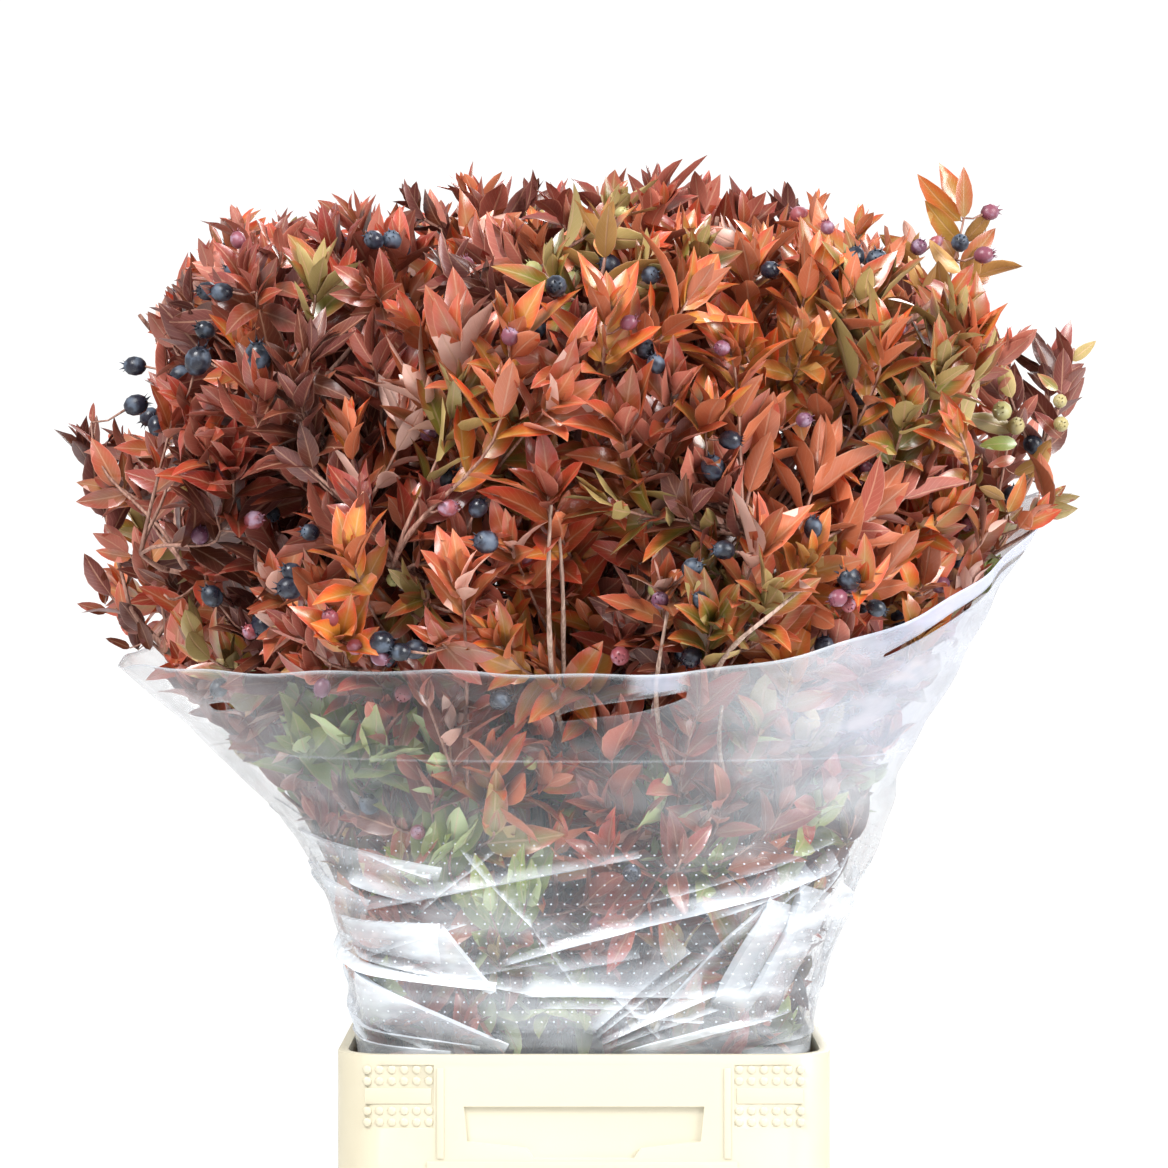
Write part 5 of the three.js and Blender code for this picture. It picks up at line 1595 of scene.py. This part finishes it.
def crease_film(shape):
    """Creases the flat film along both edges and across the end of each fold."""
    low_faces = [face for face in shape.faces if face.calc_center_median().y < FOLDS_END]
    places = {face: order for order, face in enumerate(low_faces)}
    middles = [face.calc_center_median()[:2] for face in low_faces]
    for fold in folds:
        starts, way, reach = fold_frame(fold)
        side = np.array([-way[1], way[0]]) * np.sign(fold[2])
        lines = [(0.0, 0.0), (FOLD_EDGE, FOLD_EDGE), (abs(fold[2]), abs(fold[3]))]
        wrinkled = max(abs(fold[2]), abs(fold[3])) < WIDEST_WRINKLE
        for start in starts:
            far_end = start + way * reach
            cuts = [(start + side * low, far_end + side * high) for low, high in lines]
            cuts = cuts[:1] if wrinkled else [*cuts, (far_end, far_end + side * abs(fold[3]))]
            for begin, end in cuts:
                run = np.linalg.norm(end - begin)
                heading = (end - begin) / run
                off = np.array(middles) - begin
                along, aside = off @ heading, off @ np.array([-heading[1], heading[0]])
                chosen = np.flatnonzero((along > -0.002) & (along < run + 0.002) & (np.abs(aside) < 0.004))
                parts = set()
                for order in chosen:
                    face = low_faces[order]
                    parts.update((face, *face.edges, *face.verts))
                across = (-heading[1], heading[0], 0)
                cut = bmesh.ops.bisect_plane(
                    shape, geom=list(parts), dist=1e-6, plane_co=(*begin, 0), plane_no=across
                )
                for face in (part for part in cut["geom"] if isinstance(part, bmesh.types.BMFace)):
                    if face not in places:
                        places[face] = len(low_faces)
                        low_faces.append(face)
                        middles.append((0.0, 0.0))
                    middles[places[face]] = face.calc_center_median()[:2]
                if not wrinkled:
                    for edge in (part for part in cut["geom_cut"] if isinstance(part, bmesh.types.BMEdge)):
                        edge.smooth = False


def uneven_rim(angle):
    return rim_height(angle) - 0.0012 + 0.0012 * np.sin(angle * 9) + 0.0008 * np.sin(angle * 23)


columns = np.arange(FILM_AROUND + 1)
up_shares = np.linspace(-TUCK_SHARE / (1 - TUCK_SHARE), 1, FILM_UP + 1)
film_angles = columns / FILM_AROUND * 2 * math.pi
rims = uneven_rim(film_angles)
heights = np.where(
    up_shares < 0,
    MOUTH_HEIGHT + (MOUTH_HEIGHT - TUCK_HEIGHT) * up_shares * (1 - TUCK_SHARE) / TUCK_SHARE,
    MOUTH_HEIGHT + (rims[:, None] - MOUTH_HEIGHT) * up_shares,
)
slot_rows = np.full(FILM_AROUND + 1, -1)
rows = np.arange(FILM_UP + 1)
for begin, end, first, last, gape in CARRY_SLOTS:
    shares = (np.degrees(film_angles) - begin) / (end - begin)
    inside = np.flatnonzero((shares > 0) & (shares < 1))
    depth = first + (last - first) * shares[inside]
    half = gape / 2 * np.sqrt(1 - (2 * shares[inside] - 1) ** 2)
    middle = inside[len(inside) // 2]
    low_row = np.abs(heights[middle] - (rims[middle] - (first + last) / 2 - gape / 2)).argmin()
    slot_rows[inside] = low_row
    held = [0, low_row - SLOT_EASE, low_row, low_row + 1, FILM_UP]
    for column, low, high in zip(inside, rims[inside] - depth - half, rims[inside] - depth + half):
        at = heights[column]
        heights[column] = np.interp(rows, held, [at[0], at[low_row - SLOT_EASE], low, high, at[-1]])

shape = bmesh.new()
bmesh.ops.create_grid(shape, x_segments=FILM_AROUND, y_segments=FILM_UP, size=0.5)
grid_places = {}
for vertex in shape.verts:
    column = round((vertex.co.x + 0.5) * FILM_AROUND)
    row = round((vertex.co.y + 0.5) * FILM_UP)
    grid_places[vertex] = (column, row)
opened = []
for face in shape.faces:
    corners = [grid_places[vertex] for vertex in face.verts]
    near, far = min(c for c, _ in corners), max(c for c, _ in corners)
    row = min(r for _, r in corners)
    if slot_rows[near] == slot_rows[far] == row:
        opened.append(face)
for vertex, (column, row) in grid_places.items():
    vertex.co = (math.degrees(film_angles[column]) * DEGREE, heights[column, row], 0)
bmesh.ops.delete(shape, geom=opened, context="FACES")
crease_film(shape)
crease_layer = shape.loops.layers.float.new("crease")
loops, near_loops = [], []
for face in shape.faces:
    middle = face.calc_center_median()
    for loop in face.loops:
        loops.append(loop)
        near_loops.append(loop.vert.co.lerp(middle, 0.05)[:2])
_, creases = fold_marks(np.array(near_loops))
for loop, crease in zip(loops, creases):
    loop[crease_layer] = crease
flat = np.array([vertex.co[:2] for vertex in shape.verts])
angle, height = np.radians(flat[:, 0] / DEGREE), flat[:, 1]
share = (height - MOUTH_HEIGHT) / (uneven_rim(angle) - MOUTH_HEIGHT)
pushed, _ = fold_marks(flat)
free = smooth_share(height, 0.316, 0.336)
gathers = GATHER * np.sin(angle * 23 + 2.0 * np.sin(angle * 5)) * (1 - smooth_share(height, 0.40, 0.50))
slack = SLACK * np.sin(angle * 4 + height * 21) * np.sin(height * 34 + angle * 2)
slack *= smooth_share(height, 0.36, 0.46)
ripples = RIPPLE * np.sin(angle * 11 + height * 160) * smooth_share(height, 0.36, 0.42)
radius = film_radius(angle, share) + free * (pushed + gathers + slack + ripples + 0.002) - 0.0012
for vertex, turn, far, up in zip(shape.verts, angle, radius, height):
    vertex.co = (far * math.cos(turn), far * math.sin(turn), up)
bmesh.ops.remove_doubles(shape, verts=shape.verts, dist=1e-6)
bmesh.ops.recalc_face_normals(shape, faces=shape.faces)
bmesh.ops.triangulate(shape, faces=[face for face in shape.faces if len(face.verts) > 4])
mesh = smooth_mesh("film_sleeve", shape)

# How milky the film is at each point: frosted all over and low down where it bunches, whiter as painted
# reflection on its flanks and in a soft band across its middle, and veiled along the hem and in the
# strip above the middle slot
corners = np.array([vertex.co for vertex in mesh.vertices])
up = corners[:, 2]
turned = np.degrees(np.arctan2(corners[:, 1], corners[:, 0])) % 360
# The flanks, where light glances off the film: their whiteness is painted reflection
right_flank = smooth_share(np.cos(np.radians(turned + 22)), 0.35, 0.95) * smooth_share(up, 0.43, 0.52)
left_flank = smooth_share(-np.cos(np.radians(turned - 12)), 0.6, 1.0)
low_part = 1 - smooth_share(up, 0.385, 0.455)
# A soft band across the film's middle, whiter as painted reflection of the studio
middle = smooth_share(up, 0.40, 0.45) * (1 - smooth_share(up, 0.49, 0.54))
to_rim = np.abs(uneven_rim(np.radians(turned)) - up)
hem = np.exp(-((to_rim / 0.016) ** 4)) * smooth_share(turned, 300, 318) * (1 - smooth_share(turned, 352, 358))
strip = smooth_share(turned, 275, 276.5) * (1 - smooth_share(turned, 280.5, 282)) * (to_rim < 0.011)
haze_and_sheen = dict(
    frost_and_sheen=0.07 + 0.24 * low_part + 0.08 * right_flank + 0.20 * left_flank,
    veil_and_sheen=0.25 * right_flank + 0.16 * hem + 0.26 * strip + 0.06 * low_part + 0.03 * middle,
    edge=np.exp(-((to_rim / 0.0015) ** 2)),
)
for name, values in haze_and_sheen.items():
    mesh.attributes.new(name, "FLOAT", "POINT").data.foreach_set("value", values.astype(np.float32))

clear_film, tree, shader = node_material("clear_film")
where = object_coordinates(tree)
streaks = cloudy(tree, where, 13.0, 6.0, (1, 1, 3.4))
fine = cloudy(tree, where, 55.0, 5.0, (1, 1, 2.6))
cloud = plus(tree, remap(tree, streaks, 0.44, 0.64), times(tree, remap(tree, fine, 0.5, 0.75), 0.4))
across, deep, up = new_node(tree, "ShaderNodeSeparateXYZ", Vector=where).outputs
row = arithmetic(tree, "DIVIDE", up, HOLE_SPACING_UP)
odd_row = arithmetic(tree, "MODULO", arithmetic(tree, "FLOOR", row), 2.0)
place = times(tree, arithmetic(tree, "ARCTAN2", deep, across), HOLES_AROUND / (2 * math.pi))
place = plus(tree, place, times(tree, odd_row, 0.5), 1000.0)
off_along = arithmetic(tree, "SUBTRACT", arithmetic(tree, "FRACT", place), 0.5)
off_along = times(tree, off_along, HOLE_SPACING_AROUND)
off_up = times(tree, arithmetic(tree, "SUBTRACT", arithmetic(tree, "FRACT", row), 0.5), HOLE_SPACING_UP)
squared = plus(tree, times(tree, off_along, off_along), times(tree, off_up, off_up))
hole = remap(tree, squared, (HOLE_RADIUS * 0.8) ** 2, (HOLE_RADIUS * 1.2) ** 2, 1.0, 0.0)
hole = times(tree, hole, remap(tree, up, HOLE_BAND[0], HOLE_BAND[0] + HOLE_FADE))
hole = times(tree, hole, remap(tree, up, HOLE_BAND[1] - HOLE_FADE, HOLE_BAND[1], 1, 0))
weld = arithmetic(tree, "ABSOLUTE", arithmetic(tree, "SUBTRACT", up, WELD_HEIGHT))
weld = remap(tree, weld, 0.0004, 0.0009, 1.0, 0.0)
veil_and_sheen = attribute(tree, "veil_and_sheen")
facing = new_node(tree, "ShaderNodeLayerWeight", Blend=0.35).outputs["Facing"]
# The film's alpha: frost, the folds with their painted reflection and highlight, a painted sheen at glancing
# angles, the holes, the weld, the cut edge and the veil with its painted reflection
milk_and_sheen = plus(
    tree,
    times(tree, attribute(tree, "frost_and_sheen"), plus(tree, times(tree, cloud, 0.34), 0.06)),
    times(tree, attribute(tree, "crease"), plus(tree, times(tree, cloud, 0.55), 0.56)),
    times(tree, arithmetic(tree, "POWER", facing, 2.0), 0.30),
    times(tree, hole, 0.40),
    times(tree, weld, 0.08),
    times(tree, attribute(tree, "edge"), 0.35),
    times(tree, veil_and_sheen, remap(tree, streaks, 0.35, 0.65, 0.86, 1.12)),
)
feed(tree, shader.inputs["Alpha"], arithmetic(tree, "ADD", milk_and_sheen, CLEAREST, clamp=True))
# Painted reflection of the studio: dim and bright in streaks, bluish where veiled
plain = blend_colours(tree, streaks, FILM_DIM, FILM_BRIGHT)
sheen_and_haze_colour = blend_colours(tree, remap(tree, veil_and_sheen, 0.12, 0.42), plain, FILM_HAZE_AND_SHEEN)
feed(tree, shader.inputs["Base Color"], sheen_and_haze_colour)
feed(tree, shader.inputs["Roughness"], remap(tree, fine, 0.3, 0.7, 0.08, 0.20))
raise_surface(tree, shader, fine, 0.002, 0.3)

film_sleeve = add_piece("film_sleeve", mesh, "sleeve", clear_film, stands_for=["sleeve"])
wall = film_sleeve.modifiers.new("wall", "SOLIDIFY")
wall.thickness = FILM_THICKNESS
wall.offset = 0

low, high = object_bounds()
